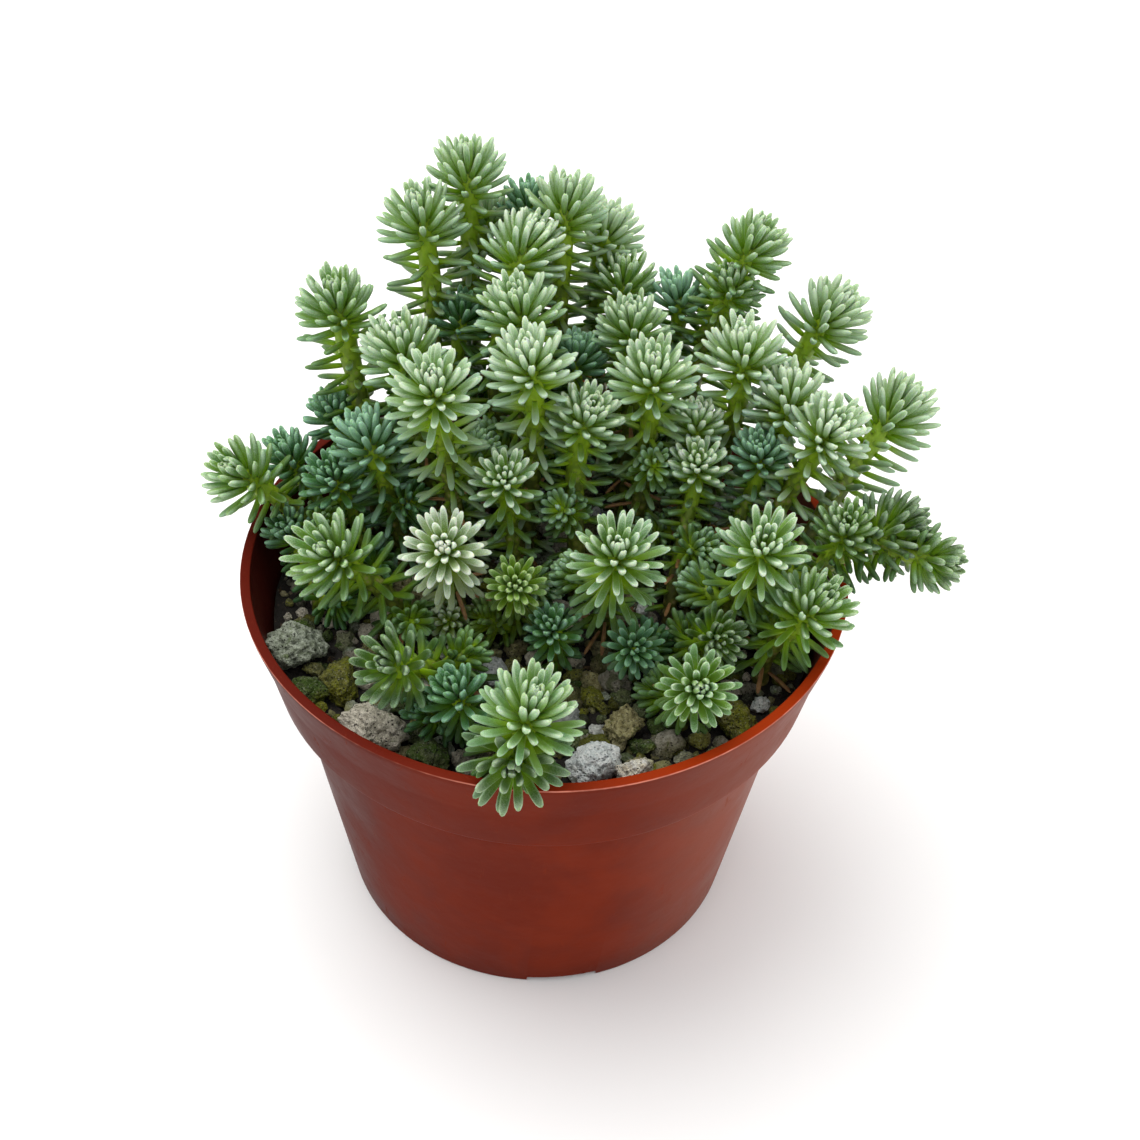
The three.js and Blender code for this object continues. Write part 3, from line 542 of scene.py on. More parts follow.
def leaf_material(name, look, frost_share):
    """Fleshy leaf: vivid base, duller blade, pale bloom and dots on the edges and the tip, with
    painted shade on older leaves and on darkened shoots and painted light on paled shoots
    """
    material, wiring, shader, place = new_material(name)
    along = point_value(wiring, "along")
    across = wiring.math("ABSOLUTE", point_value(wiring, "across"))
    chance = point_value(wiring, "leaf_chance")
    withered = point_value(wiring, "leaf_wither")
    age = point_value(wiring, "leaf_age")
    frost = point_value(wiring, "leaf_frost")
    dark = point_value(wiring, "leaf_shading")

    blade = wiring.mixed(chance, look["blade"], look["blade_other"])
    # Older, lower leaves take the old colour: their own duller yellow-green, darkened further as
    # painted shade deep in the clump
    blade = wiring.mixed(wiring.ranged(age, 0.38, 0.72, 0.0, 0.9), blade, look["old"])
    cloud = speckle(wiring, place, 0.5, 2.0)
    shade = wiring.plus(
        wiring.ranged(cloud, 0.35, 0.7, 0.0, 0.3), wiring.math("MAXIMUM", dark, 0.0))
    blade = wiring.mixed(shade, blade, look["shade"])
    # Painted light: shoots with a dark share below 0 get paler blades
    blade = wiring.mixed(wiring.ranged(dark, 0.0, -1.0, 0.0, 0.7), blade, look["bloom"])
    base = wiring.mixed(wiring.ranged(age, 0.1, 0.6), look["young_base"], look["base"])
    # The bases of older leaves also take the old colour with its painted shade
    base = wiring.mixed(wiring.ranged(age, 0.55, 0.95, 0.0, 0.6), base, look["old"])
    green = wiring.mixed(wiring.ranged(along, 0.12, 0.76), base, blade)

    edge = wiring.ranged(across, 0.58, 0.92, look["face"], look["edge"])
    edge = wiring.times(edge, wiring.ranged(along, 0.15, 0.7))
    tip = wiring.math("POWER", wiring.ranged(along, 0.56, 1.0, 0.0, 1.0), 1.5)
    grains = speckle(wiring, place, 5.0, 3.0, 0.8)
    beads = cells(wiring, place, 5.5)
    bloom = wiring.plus(edge, wiring.times(tip, look["tip"]))
    dots = wiring.times(
        wiring.ranged(beads, 0.1, 0.42, 0.34, -0.1), wiring.ranged(bloom, 0.1, 0.5))
    bloom = wiring.plus(bloom, dots)
    bloom = wiring.plus(bloom, wiring.ranged(grains, 0.38, 0.66, -0.22, 0.16))
    bloom = wiring.plus(bloom, wiring.ranged(chance, 0.0, 1.0, -0.16, 0.08))
    fresh = wiring.ranged(age, 0.3, 0.7, 1.0, 0.22)
    cover = wiring.times(wiring.times(fresh, frost), frost_share)
    bloom = wiring.times(bloom, cover)
    bloom = wiring.math("MINIMUM", wiring.math("MAXIMUM", bloom, 0.0), 0.95)
    pale = wiring.mixed(wiring.ranged(age, 0.2, 0.7), look["bloom"], look["cool_bloom"])
    coloured = wiring.mixed(bloom, green, pale)

    dry = wiring.mixed(speckle(wiring, place, 1.4, 2.0), srgb(92, 60, 34), srgb(168, 128, 84))
    coloured = wiring.mixed(withered, coloured, dry)
    wiring.fill(shader, "Base Color", coloured)
    wiring.fill(shader, "Roughness", wiring.ranged(bloom, 0.0, 0.9, 0.42, 0.72))
    evenly(shader, {
        "Subsurface Weight": 0.32, "Subsurface Radius": (0.55, 1.0, 0.15),
        "Subsurface Scale": 1.2 * MM, "Specular IOR Level": 0.26, "Sheen Weight": 0.06,
        "Sheen Roughness": 0.5,
    })
    grit = wiring.plus(wiring.times(beads, bloom), wiring.times(grains, 0.6))
    bump(wiring, shader, grit, 0.07 * MM, 0.8)
    return material


# Leaf colours by finish: shade is painted shade, and old is the duller colour of old leaves darkened
# further with painted shade
LEAF_LOOKS = {
    "green": {
        "blade": srgb(118, 156, 54), "blade_other": srgb(92, 140, 72), "old": srgb(64, 94, 4),
        "base": srgb(132, 168, 0), "young_base": srgb(118, 158, 26), "shade": srgb(44, 76, 14),
        "bloom": srgb(200, 218, 192), "cool_bloom": srgb(150, 188, 160),
        "face": 0.05, "edge": 0.55, "tip": 0.64,
    },
    "frosted": {
        "blade": srgb(132, 168, 84), "blade_other": srgb(108, 154, 98), "old": srgb(68, 98, 4),
        "base": srgb(136, 170, 0), "young_base": srgb(132, 170, 38), "shade": srgb(58, 92, 24),
        "bloom": srgb(212, 228, 204), "cool_bloom": srgb(166, 202, 186),
        "face": 0.12, "edge": 0.66, "tip": 0.86,
    },
    "white": {
        "blade": srgb(140, 168, 92), "blade_other": srgb(124, 158, 98), "old": srgb(92, 108, 20),
        "base": srgb(134, 162, 8), "young_base": srgb(138, 168, 58), "shade": srgb(76, 106, 40),
        "bloom": srgb(224, 234, 216), "cool_bloom": srgb(204, 220, 204),
        "face": 0.2, "edge": 0.78, "tip": 0.95,
    },
    "blue": {
        "blade": srgb(70, 120, 54), "blade_other": srgb(58, 112, 66), "old": srgb(48, 82, 8),
        "base": srgb(96, 136, 2), "young_base": srgb(60, 110, 40), "shade": srgb(38, 74, 20),
        "bloom": srgb(154, 192, 168), "cool_bloom": srgb(126, 170, 152),
        "face": 0.05, "edge": 0.46, "tip": 0.56,
    },
    "yellow": {
        "blade": srgb(116, 150, 38), "blade_other": srgb(98, 140, 42), "old": srgb(70, 94, 4),
        "base": srgb(134, 162, 0), "young_base": srgb(120, 156, 24), "shade": srgb(60, 94, 12),
        "bloom": srgb(188, 208, 156), "cool_bloom": srgb(160, 188, 146),
        "face": 0.05, "edge": 0.5, "tip": 0.56,
    },
}


def stem_material():
    """Fleshy stem: yellow-green near the head, browner and scarred further down"""
    material, wiring, shader, place = new_material("stem_flesh")
    age = point_value(wiring, "stem_age")
    cloud = speckle(wiring, place, 0.55, 3.0)
    fresh = wiring.mixed(cloud, srgb(150, 178, 20), srgb(112, 152, 18))
    olive = wiring.mixed(cloud, srgb(112, 120, 34), srgb(82, 92, 26))
    woody = wiring.mixed(cloud, srgb(120, 106, 58), srgb(82, 66, 40))
    coloured = wiring.mixed(wiring.ranged(age, 0.16, 0.55, 0.0, 0.92), fresh, olive)
    coloured = wiring.mixed(wiring.ranged(age, 0.5, 0.95, 0.0, 0.85), coloured, woody)
    from_scar = cells(wiring, place, 0.85)
    scar = wiring.ranged(from_scar, 0.16, 0.36, 0.7, 0.0)
    scar = wiring.times(scar, wiring.ranged(age, 0.1, 0.4))
    coloured = wiring.mixed(scar, coloured, srgb(150, 138, 92))
    seam = wiring.ranged(from_scar, 0.42, 0.62, 0.0, 0.6)
    seam = wiring.times(seam, wiring.ranged(age, 0.05, 0.4))
    coloured = wiring.mixed(seam, coloured, srgb(52, 56, 18))
    wiring.fill(shader, "Base Color", coloured)
    wiring.fill(shader, "Roughness", wiring.ranged(cloud, 0.3, 0.7, 0.45, 0.62))
    evenly(shader, {
        "Subsurface Weight": 0.3, "Subsurface Radius": (0.6, 1.0, 0.12),
        "Subsurface Scale": 0.9 * MM,
    })
    bump(wiring, shader, speckle(wiring, place, 1.6, 3.0), 0.18 * MM, 0.6)
    return material


def lip_light_and_edge_highlight(wiring, place, coloured, rim, top):
    """The lip's upper face with painted light, dark on the left and lit orange-red on the right, and
    a painted highlight, broken in patches, along its outer edge
    """
    parts = wiring.node("ShaderNodeSeparateXYZ", {"Vector": place}).outputs
    flat = wiring.vector("MULTIPLY", place, (1.0, 1.0, 0.0))
    reach = wiring.out(wiring.node("ShaderNodeVectorMath", {0: flat}, operation="LENGTH"), "Value")
    lip = wiring.times(
        wiring.ranged(parts["Z"], top - 0.12, top - 0.04),
        wiring.ranged(reach, rim - 1.7, rim - 1.4))
    # Painted light: the lip's top face darker on the left, bright orange-red on the right
    lit_right = wiring.ranged(parts["X"], -30.0, 30.0)
    coloured = wiring.mixed(
        lip, coloured, wiring.mixed(lit_right, srgb(88, 24, 14), srgb(146, 46, 12)))
    # Painted highlight along the rounded outer corner of the lip
    edge = wiring.times(
        wiring.ranged(parts["Z"], top - 0.42, top - 0.2),
        wiring.ranged(reach, rim - 0.24, rim - 0.12))
    edge = wiring.times(edge, wiring.ranged(parts["Z"], top - 0.02, top - 0.08))
    highlight_breaks = wiring.ranged(speckle(wiring, place, 0.25, 4.0), 0.35, 0.6, 0.4, 0.95)
    return wiring.mixed(wiring.times(edge, highlight_breaks), coloured, srgb(206, 128, 108))


def pot_material(settings):
    """Thin moulded plastic: mottled red-brown, satin, with fine scratches and dust, painted shade
    inside and on its left side, painted sheen on its right side and painted light on its lip
    """
    material, wiring, shader, place = new_material("nursery_pot_plastic")
    rim, top = settings.rim_radius / MM, settings.height / MM
    mottle = speckle(wiring, place, 0.07, 4.0, 0.6, 0.4)
    coloured = wiring.mixed(
        wiring.ranged(mottle, 0.32, 0.7), tuple(settings.deep_colour), tuple(settings.colour))
    inside = point_value(wiring, "inside")
    inside_shade_mottle = wiring.ranged(speckle(wiring, place, 0.12, 4.0), 0.35, 0.65, 0.45, 0.85)
    parts = wiring.node("ShaderNodeSeparateXYZ", {"Vector": place}).outputs
    # Colours mixed over the plastic, some of them painted light or shade
    painted_light_and_tints = (
        # Darker towards the bottom
        (wiring.ranged(parts["Z"], 1.0, 7.0, 0.3, 0.0), srgb(78, 28, 18)),
        # Painted shade: the inside walls darker purple-grey, in noisy patches
        (wiring.times(inside, inside_shade_mottle), srgb(64, 40, 42)),
        # Painted sheen: the right side lighter and pinker
        (wiring.ranged(parts["X"], 8.0, rim - 8.0, 0.0, 0.5), srgb(160, 104, 88)),
        # Painted shade: the left side darker
        (wiring.ranged(parts["X"], -10.0, 6.0 - rim, 0.0, 0.8), srgb(56, 20, 17)),
        # A deeper red on the collar
        (wiring.ranged(parts["Z"], top - 17.5, top - 14.5, 0.0, 0.3), srgb(84, 24, 10)),
    )
    for share, tint_colour in painted_light_and_tints:
        coloured = wiring.mixed(share, coloured, tint_colour)
    coloured = lip_light_and_edge_highlight(wiring, place, coloured, rim, top)
    scratched = wiring.node("ShaderNodeMapping", {
        "Vector": place, "Scale": (0.5, 0.5, 0.05), "Rotation": (0.5, 0.3, 0.0),
    })
    scratches = speckle(wiring, scratched, 1.6, 6.0, 0.75, 0.6)
    lines = wiring.ranged(scratches, 0.60, 0.68)
    dust = wiring.ranged(speckle(wiring, place, 0.35, 5.0, 0.7), 0.58, 0.78, 0.0, 0.6)
    marks = wiring.times(wiring.math("MAXIMUM", lines, dust), settings.scuffs * 0.45)
    coloured = wiring.mixed(marks, coloured, srgb(140, 62, 44))
    wiring.fill(shader, "Base Color", coloured)
    wiring.fill(shader, "Roughness", wiring.plus(wiring.ranged(mottle, 0.3, 0.7, 0.34, 0.46), marks))
    evenly(shader, {
        "Specular IOR Level": 0.02, "Subsurface Weight": 0.05,
        "Subsurface Radius": (1.0, 0.28, 0.12), "Subsurface Scale": 2.2 * MM,
    })
    grain = wiring.plus(speckle(wiring, place, 0.16, 3.0, 0.5), wiring.times(lines, 0.06))
    bump(wiring, shader, grain, 0.35 * MM, 0.5)
    return material


def mix_material(settings):
    """Damp potting mix: nearly black, with brown fibres and a few pale grains"""
    material, wiring, shader, place = new_material("damp_potting_mix")
    cloud = speckle(wiring, place, 0.8, 6.0, 0.7)
    coloured = wiring.mixed(cloud, srgb(20, 17, 13), tuple(settings.colour))
    fibres = wiring.ranged(speckle(wiring, place, 1.9, 4.0, 0.6, 1.2), 0.60, 0.72, 0.0, 0.8)
    coloured = wiring.mixed(fibres, coloured, srgb(96, 74, 50))
    grains = wiring.ranged(cells(wiring, place, 1.1), 0.05, 0.13, 0.75, 0.0)
    coloured = wiring.mixed(grains, coloured, srgb(126, 116, 94))
    wiring.fill(shader, "Base Color", coloured)
    wiring.fill(shader, "Roughness", wiring.ranged(cloud, 0.3, 0.7, 0.55, 0.95))
    bump(wiring, shader, speckle(wiring, place, 2.4, 5.0, 0.75), 0.5 * MM, 0.9)
    return material


def stone_material(name, light, dark, speck_and_pore_shade, film=None, film_share=0.0, glaze=0.85):
    """Rough stone: mottled, with painted shade in its pores, darker specks and, on some, a film of
    algae
    """
    material, wiring, shader, place = new_material(name)
    tone = point_value(wiring, "bit_tone")
    cloud = speckle(wiring, place, 0.9, 6.0, 0.75)
    coloured = wiring.mixed(wiring.ranged(cloud, 0.38, 0.62), dark, light)
    if film is not None:
        spread = speckle(wiring, place, 0.42, 5.0, 0.75, 0.6)
        spread = wiring.plus(spread, wiring.times(tone, 0.12))
        cover = wiring.ranged(spread, 0.66 - film_share * 0.4, 0.74 - film_share * 0.3, 0.0, 0.85)
        coloured = wiring.mixed(cover, coloured, film)
    algae = wiring.mixed(cloud, srgb(96, 100, 14), srgb(156, 154, 40))
    for x, y, reach in ALGAE_PATCHES:
        away = wiring.vector("DISTANCE", place, (x, y, SOIL_TOP + 2)).outputs["Value"]
        near = wiring.ranged(away, reach * 0.6, reach * 1.2, 0.75, 0.0)
        coloured = wiring.mixed(near, coloured, algae)
    pores = cells(wiring, place, 1.9)
    some = wiring.ranged(speckle(wiring, place, 1.1, 2.0), 0.42, 0.56)
    # Painted shade in the pores
    pits = wiring.times(wiring.ranged(pores, 0.12, 0.36, 0.95, 0.0), some)
    coloured = wiring.mixed(pits, coloured, speck_and_pore_shade)
    fine = speckle(wiring, place, 3.2, 5.0, 0.85)
    tints = (
        (wiring.ranged(fine, 0.54, 0.66, 0.0, 0.75), speck_and_pore_shade),
        (wiring.ranged(fine, 0.45, 0.35, 0.0, 0.5), srgb(214, 214, 198)),
        (wiring.ranged(tone, 0.0, 1.0, 0.0, 0.6), srgb(44, 44, 30)),
        (wiring.ranged(tone, 0.0, -1.0, 0.0, 0.3), srgb(190, 184, 160)),
    )
    for share, tint in tints:
        coloured = wiring.mixed(share, coloured, tint)
    wiring.fill(shader, "Base Color", coloured)
    wiring.fill(shader, "Roughness", wiring.ranged(cloud, 0.3, 0.7, glaze - 0.12, glaze + 0.1))
    evenly(shader, {"Specular IOR Level": 0.25})
    granules = wiring.times(cells(wiring, place, 2.6), -0.7)
    rough = wiring.minus(speckle(wiring, place, 2.2, 6.0, 0.85), pits)
    bump(wiring, shader, wiring.plus(rough, granules), 0.6 * MM)
    return material


# Each stone's light and dark colours, its colour for specks and for the painted shade in its pores,
# and its film of algae with the share that it covers
STONE_LOOKS = {
    "stone_grey": (
        srgb(204, 212, 194), srgb(138, 148, 124), srgb(40, 42, 30), srgb(112, 132, 76), 0.28),
    "stone_speckled": (
        srgb(240, 232, 214), srgb(190, 182, 162), srgb(52, 48, 38), srgb(130, 138, 92), 0.18),
    "stone_pale": (
        srgb(250, 252, 250), srgb(222, 230, 230), srgb(134, 144, 148), srgb(170, 180, 160), 0.06),
    "stone_cream": (srgb(255, 253, 246), srgb(250, 238, 212), srgb(66, 46, 30)),
    "stone_tan": (
        srgb(180, 172, 124), srgb(130, 122, 80), srgb(34, 30, 18), srgb(106, 112, 50), 0.3),
    "stone_olive": (
        srgb(134, 132, 60), srgb(84, 88, 36), srgb(28, 30, 10), srgb(134, 138, 26), 0.5),
    "stone_moss": (
        srgb(112, 122, 78), srgb(62, 72, 40), srgb(20, 26, 10), srgb(70, 98, 26), 0.6),
}

# Patches of the mix where the bits are yellow with algae: x, y and half the width, in mm
ALGAE_PATCHES = ((18.0, -34.5, 4.6), (23.0, -30.5, 3.6), (-30.0, -24.5, 3.4))


def stone_coat(slot):
    """The material of a record slot, made once"""
    name = "rough_" + slot
    return bpy.data.materials.get(name) or stone_material(name, *STONE_LOOKS[slot])


# Pot

def rounded(profile, radius, lip_radius, steps=4):
    """A profile whose corners are turned into short arcs, smaller ones at its very top"""
    points = [profile[0]]
    top = max(height for _, height in profile)
    for before, corner, after in zip(profile, profile[1:], profile[2:]):
        here = Vector(corner)
        back = Vector(before) - here
        ahead = Vector(after) - here
        limit = lip_radius if corner[1] == top else radius
        reach = min(limit, back.length * 0.45, ahead.length * 0.45)
        start = here + back.normalized() * reach
        end = here + ahead.normalized() * reach
        for step in range(steps + 1):
            share = step / steps
            first = start.lerp(here, share)
            second = here.lerp(end, share)
            points.append(tuple(first.lerp(second, share)))
    points.append(profile[-1])
    return points


def turned(profile, sides):
    """Points and faces of a profile turned round the upright axis, closed at its poles"""
    points = []
    rows = []
    for radius, height in profile:
        count = 1 if radius < 1e-6 else sides
        rows.append((len(points), count))
        for side in range(count):
            angle = side / sides * math.tau
            points.append((radius * math.cos(angle), radius * math.sin(angle), height))
    faces = []
    for (low, low_count), (high, high_count) in zip(rows, rows[1:]):
        if low_count == 1:
            faces += [(low, high + (side + 1) % sides, high + side) for side in range(sides)]
        elif high_count == 1:
            faces += [(low + side, low + (side + 1) % sides, high) for side in range(sides)]
        else:
            faces += band(low, high, sides)
    return points, faces


def pot_profile(settings):
    """Outside from the middle of the underside up to the lip, then the inside back down"""
    rim = settings.rim_radius / MM
    top = settings.height / MM
    wall = settings.wall / MM
    outside = [
        (0, 0), (PAD_RADIUS, 0), (PAD_RADIUS + 0.6, FOOT_HEIGHT), (FOOT_INSIDE - 0.4, FOOT_HEIGHT),
        (FOOT_INSIDE, 0), (BASE_RADIUS, 0), (BODY_RADIUS, BODY_HEIGHT),
        (SHOULDER_RADIUS, SHOULDER_HEIGHT), (rim - COLLAR_TAPER, top - COLLAR_DROP),
        (rim - 2.2, top - 8), (rim - 0.15, top - 0.9), (rim, top),
    ]
    inside = [
        (rim - 1.5, top), (rim - 1.65, top - LIP_DROP), (rim - 2.2 - wall, top - 8),
        (rim - COLLAR_TAPER - wall, top - COLLAR_DROP + 0.5),
        (SHOULDER_RADIUS - wall, SHOULDER_HEIGHT + 0.5), (BODY_RADIUS - wall, BODY_HEIGHT),
        (BASE_RADIUS - wall - 0.4, FLOOR_TOP + 0.8), (BASE_RADIUS - wall - 1.2, FLOOR_TOP),
        (0, FLOOR_TOP),
    ]
    return outside + inside


def out_of_round(points, most):
    """Points of the turned pot, pushed in and out above its base as a thin wall warps"""
    moved = []
    for x, y, z in points:
        angle = math.atan2(y, x)
        swell = math.cos(2 * angle + 0.7) + 0.5 * math.cos(5 * angle + 0.02 * z)
        reach = math.hypot(x, y)
        share = clamped((reach - BASE_RADIUS - 0.3) / 8)
        scale = 1 + most * swell * share / max(reach, 1.0)
        moved.append((x * scale, y * scale, z))
    return moved


def pot_tree():
    """Cuts a ring of drain holes and the notches of the foot out of the turned pot"""
    shape = ShapeTree("pot_openings", [
        ("Drain Holes", "Int"), ("Drain Radius", "Float"), ("Drain Circle", "Float"),
        ("Notches", "Int"), ("Notch Size", "Vector"), ("Notch Circle", "Float"),
        ("Notch Turn", "Float"), ("Material", "Material"),
    ])
    ring = shape.node("GeometryNodeMeshCircle", {
        "Vertices": shape.given("Drain Holes"), "Radius": shape.given("Drain Circle"),
    })
    drill = shape.node("GeometryNodeMeshCylinder", {
        "Vertices": 24, "Radius": shape.given("Drain Radius"), "Depth": 12 * MM,
    })
    drills = shape.node("GeometryNodeInstanceOnPoints", {
        "Points": ring, "Instance": shape.out(drill, "Mesh"),
    })
    foot = shape.node("GeometryNodeMeshCircle", {
        "Vertices": shape.given("Notches"), "Radius": shape.given("Notch Circle"),
    })
    turn = shape.node("ShaderNodeCombineXYZ", {"Z": shape.given("Notch Turn")})
    foot = shape.node("GeometryNodeTransform", {"Geometry": foot, "Rotation": turn})
    outward = shape.node("FunctionNodeAlignRotationToVector", {
        "Vector": shape.node("GeometryNodeInputPosition"),
    }, axis="X")
    block = shape.node("GeometryNodeMeshCube", {"Size": shape.given("Notch Size")})
    blocks = shape.node("GeometryNodeInstanceOnPoints", {
        "Points": foot, "Instance": shape.out(block, "Mesh"), "Rotation": outward,
    })
    cutters = shape.node("GeometryNodeJoinGeometry")
    shape.tree.links.new(shape.out(drills), cutters.inputs[0])
    shape.tree.links.new(shape.out(blocks), cutters.inputs[0])
    cut = shape.node("GeometryNodeMeshBoolean", {
        "Mesh 1": shape.given("Geometry"),
        "Mesh 2": shape.node("GeometryNodeRealizeInstances", {"Geometry": cutters}),
    }, operation="DIFFERENCE", solver="EXACT")
    shape.close(cut, [(shape.given("Material"), None)])
    return shape


class STONECROP_OT_pot(bpy.types.Operator):
    """Add the thin round nursery pot with its lip, collar, foot ring and drain holes"""

    bl_idname = "stonecrop.add_pot"
    bl_label = "Add Nursery Pot"

    def execute(self, context):
        settings = context.scene.stonecrop_pot
        profile = rounded(pot_profile(settings), radius=0.45, lip_radius=0.2)
        points, faces = turned(profile, settings.sides)
        top = settings.height / MM
        last = max(row for row, (_, height) in enumerate(profile) if height > top - 0.02)
        inside = [
            float(row > last) for row, (reach, _) in enumerate(profile)
            for _ in range(1 if reach < 1e-6 else settings.sides)
        ]
        mesh = plain_mesh("pot_shell", out_of_round(points, settings.warp / MM), faces)
        carry(mesh, "inside", inside)
        piece = pot_tree().grow("pot_shell", mesh, {
            "Drain Holes": settings.drain_holes, "Drain Radius": DRAIN_RADIUS * MM,
            "Drain Circle": DRAIN_CIRCLE * MM, "Notches": NOTCHES,
            "Notch Size": tuple(size * MM for size in NOTCH_SIZE),
            "Notch Circle": BASE_RADIUS * MM, "Notch Turn": math.radians(NOTCH_TURN),
            "Material": pot_material(settings),
        })
        finished(piece, ["pot"], sharp=38)
        return {"FINISHED"}


# Potting mix and stones

def open_mix(x, y, room):
    """0 where a bit of a half size would touch a stem, a loose stone or the pot, 1 in the open"""
    from_stem = min(math.hypot(plant["foot"][0] - x, plant["foot"][1] - y) for plant in STEMS)
    from_stone = min(
        math.hypot((at[0] - x) / (size[0] + 0.3 * room), (at[1] - y) / (size[1] + 0.3 * room))
        for _, at, size, _, _ in STONES)
    from_wall = MIX_RADIUS + 0.45 - room - math.hypot(x, y)
    return clamped(min(
        (from_stem - 1.2 - 0.5 * room) / 0.8, (from_stone - 1.0) / 0.15, from_wall / 0.5))


def crumbly_height(x, y, lumps):
    """Height of the mix's top, lower where it must keep clear of what lies on it"""
    height = noise.fractal(Vector((x, y, 3.0)) * 0.33, 1.0, 2.0, 5)
    height += 0.6 * noise.fractal(Vector((x, y, 9.0)) * 0.9, 0.9, 2.1, 4)
    dip = 0.24 * (1 - open_mix(x, y, 1.5))
    return SOIL_TOP + 0.1 + lumps * 0.6 * height - dip


def litter_share(x, y):
    """How likely a dry leaf lies at a place: in patches, and only away from the pot's wall"""
    patch = noise.noise(Vector((x * 0.11, y * 0.11, 4.0)))
    return clamped((27.0 - math.hypot(x, y)) / 5) * clamped(0.45 + 1.6 * patch)


def mix_bed(settings):
    """The plug of mix with a crumbly top, made of rings of points"""
    rings, spokes = 54, 160
    top = [(0.0, 0.0, SOIL_TOP)]
    for ring in range(1, rings + 1):
        reach = MIX_RADIUS * ring / rings
        for spoke in range(spokes):
            angle = (spoke + 0.5 * (ring % 2)) / spokes * math.tau
            x, y = reach * math.cos(angle), reach * math.sin(angle)
            top.append((x, y, crumbly_height(x, y, settings.lumps / MM)))
    faces = [(0, 1 + spoke, 1 + (spoke + 1) % spokes) for spoke in range(spokes)]
    for ring in range(rings - 1):
        low = 1 + ring * spokes
        high = low + spokes
        for spoke in range(spokes):
            after = (spoke + 1) % spokes
            if ring % 2 == 0:
                faces.append((low + spoke, high + spoke, low + after))
                faces.append((low + after, high + spoke, high + after))
            else:
                faces.append((low + spoke, high + spoke, high + after))
                faces.append((low + spoke, high + after, low + after))
    side = [(39.4, 46.2), (36.8, 44.4), (29.2, 3.9), (28.3, 2.7)]
    below = []
    low = len(top) - spokes
    for reach, height in side:
        for spoke in range(spokes):
            angle = spoke / spokes * math.tau
            below.append((reach * math.cos(angle), reach * math.sin(angle), height))
        faces += band(low, low + spokes, spokes, inward=True)
        low += spokes
    below.append((0, 0, side[-1][1]))
    bottom = len(top) + len(below) - 1
    faces += [(low + spoke, bottom, low + (spoke + 1) % spokes) for spoke in range(spokes)]
    mesh = plain_mesh("mix_bed", top + below, faces)
    layers = {
        "wide_room": lambda x, y: open_mix(x, y, 2.6),
        "room": lambda x, y: open_mix(x, y, 1.0),
        "litter": litter_share,
    }
    for name, worked_out in layers.items():
        carry(mesh, name, [worked_out(x, y) for x, y, _ in top] + [0.0] * len(below))
    return mesh


def chipped(shape, facing, seed, cuts=13):
    """How far a stone reaches along a direction when chance has broken its sides off flat"""
    reach = 1.12
    for cut in range(cuts):
        side = shape.chance((-1.0, -1.0, -1.0), (1.0, 1.0, 1.0), seed, "FLOAT_VECTOR", cut)
        side = shape.node("ShaderNodeVectorMath", {0: side}, operation="NORMALIZE")
        slope = shape.out(shape.vector("DOT_PRODUCT", facing, side), "Value")
        slope = shape.math("MAXIMUM", slope, 0.05)
        depth = shape.math("DIVIDE", shape.chance(0.66, 0.96, seed, "FLOAT", cut + 50), slope)
        reach = shape.node("ShaderNodeMath", {0: reach, 1: depth, 2: 0.12}, operation="SMOOTH_MIN")
    return shape.out(reach)


def pebble_shape(name, seed, subdivisions, coat):
    """A small broken stone for scattering, about one unit across its half size"""
    shape = ShapeTree(name + "_form", [
        ("Subdivisions", "Int"), ("Lumps", "Float"), ("Seed", "Int"), ("Material", "Material"),
    ])
    ball = shape.node("GeometryNodeMeshIcoSphere", {
        "Radius": 1.0, "Subdivisions": shape.given("Subdivisions"),
    })
    facing = shape.out(shape.node("GeometryNodeInputPosition"))
    apart = shape.vector("ADD", facing, shape.vector("SCALE", (3.7, 1.9, 5.1), shape.given("Seed")))
    lump = shape.minus(speckle(shape, apart, 2.2, 3.0, 0.7), 0.5)
    nubs = shape.minus(0.4, cells(shape, apart, 2.8))
    lump = shape.plus(lump, shape.times(nubs, 0.45))
    reach = shape.plus(
        chipped(shape, facing, shape.given("Seed")), shape.times(lump, shape.given("Lumps")))
    rough = shape.node("GeometryNodeSetPosition", {
        "Geometry": shape.out(ball, "Mesh"), "Position": shape.vector("SCALE", facing, reach),
    })
    shape.close(rough, [(shape.given("Material"), None)])
    return shape.grow(name, bpy.data.meshes.new(name), {
        "Subdivisions": subdivisions, "Lumps": 0.7, "Seed": seed, "Material": coat,
    })


def dry_leaf(name, coat):
    """A fallen leaf: a thin curled strip, closed all round"""
    rows = 6
    points, faces = [], []
    for row in range(rows + 1):
        share = row / rows
        half = 0.5 * math.sin(math.pi * (0.08 + 0.86 * share)) ** 0.6
        lift = 0.9 * math.sin(math.pi * share) + 0.25 * share
        for x, z in ((half, 0.0), (0.0, 0.16), (-half, 0.0), (0.0, -0.1)):
            points.append((x, (share - 0.5) * 4.4, lift + z))
    for row in range(rows):
        faces += band(row * 4, row * 4 + 4, 4, inward=True)
    faces.append((0, 1, 2, 3))
    faces.append(tuple(rows * 4 + corner for corner in (3, 2, 1, 0)))
    mesh = bpy.data.meshes.new(name)
    mesh.from_pydata(points, [], faces)
    mesh.materials.append(coat)
    return added(name, mesh)


# What is spread over the mix: where it may lie, a step on from the seed, its most tilt,
# how flat it may be and how far its middle is raised
SCATTERED = {
    "Gravel": ("wide_room", 0.0, 0.6, (0.66, 0.98), 0.42),
    "Grit": ("room", 3.0, 0.8, (0.6, 1.0), 0.25),
    "Crumb": ("room", 5.0, 0.8, (0.6, 1.0), 0.1),
    "Litter": ("litter", 9.0, 0.35, (0.8, 1.2), 0.5),
}


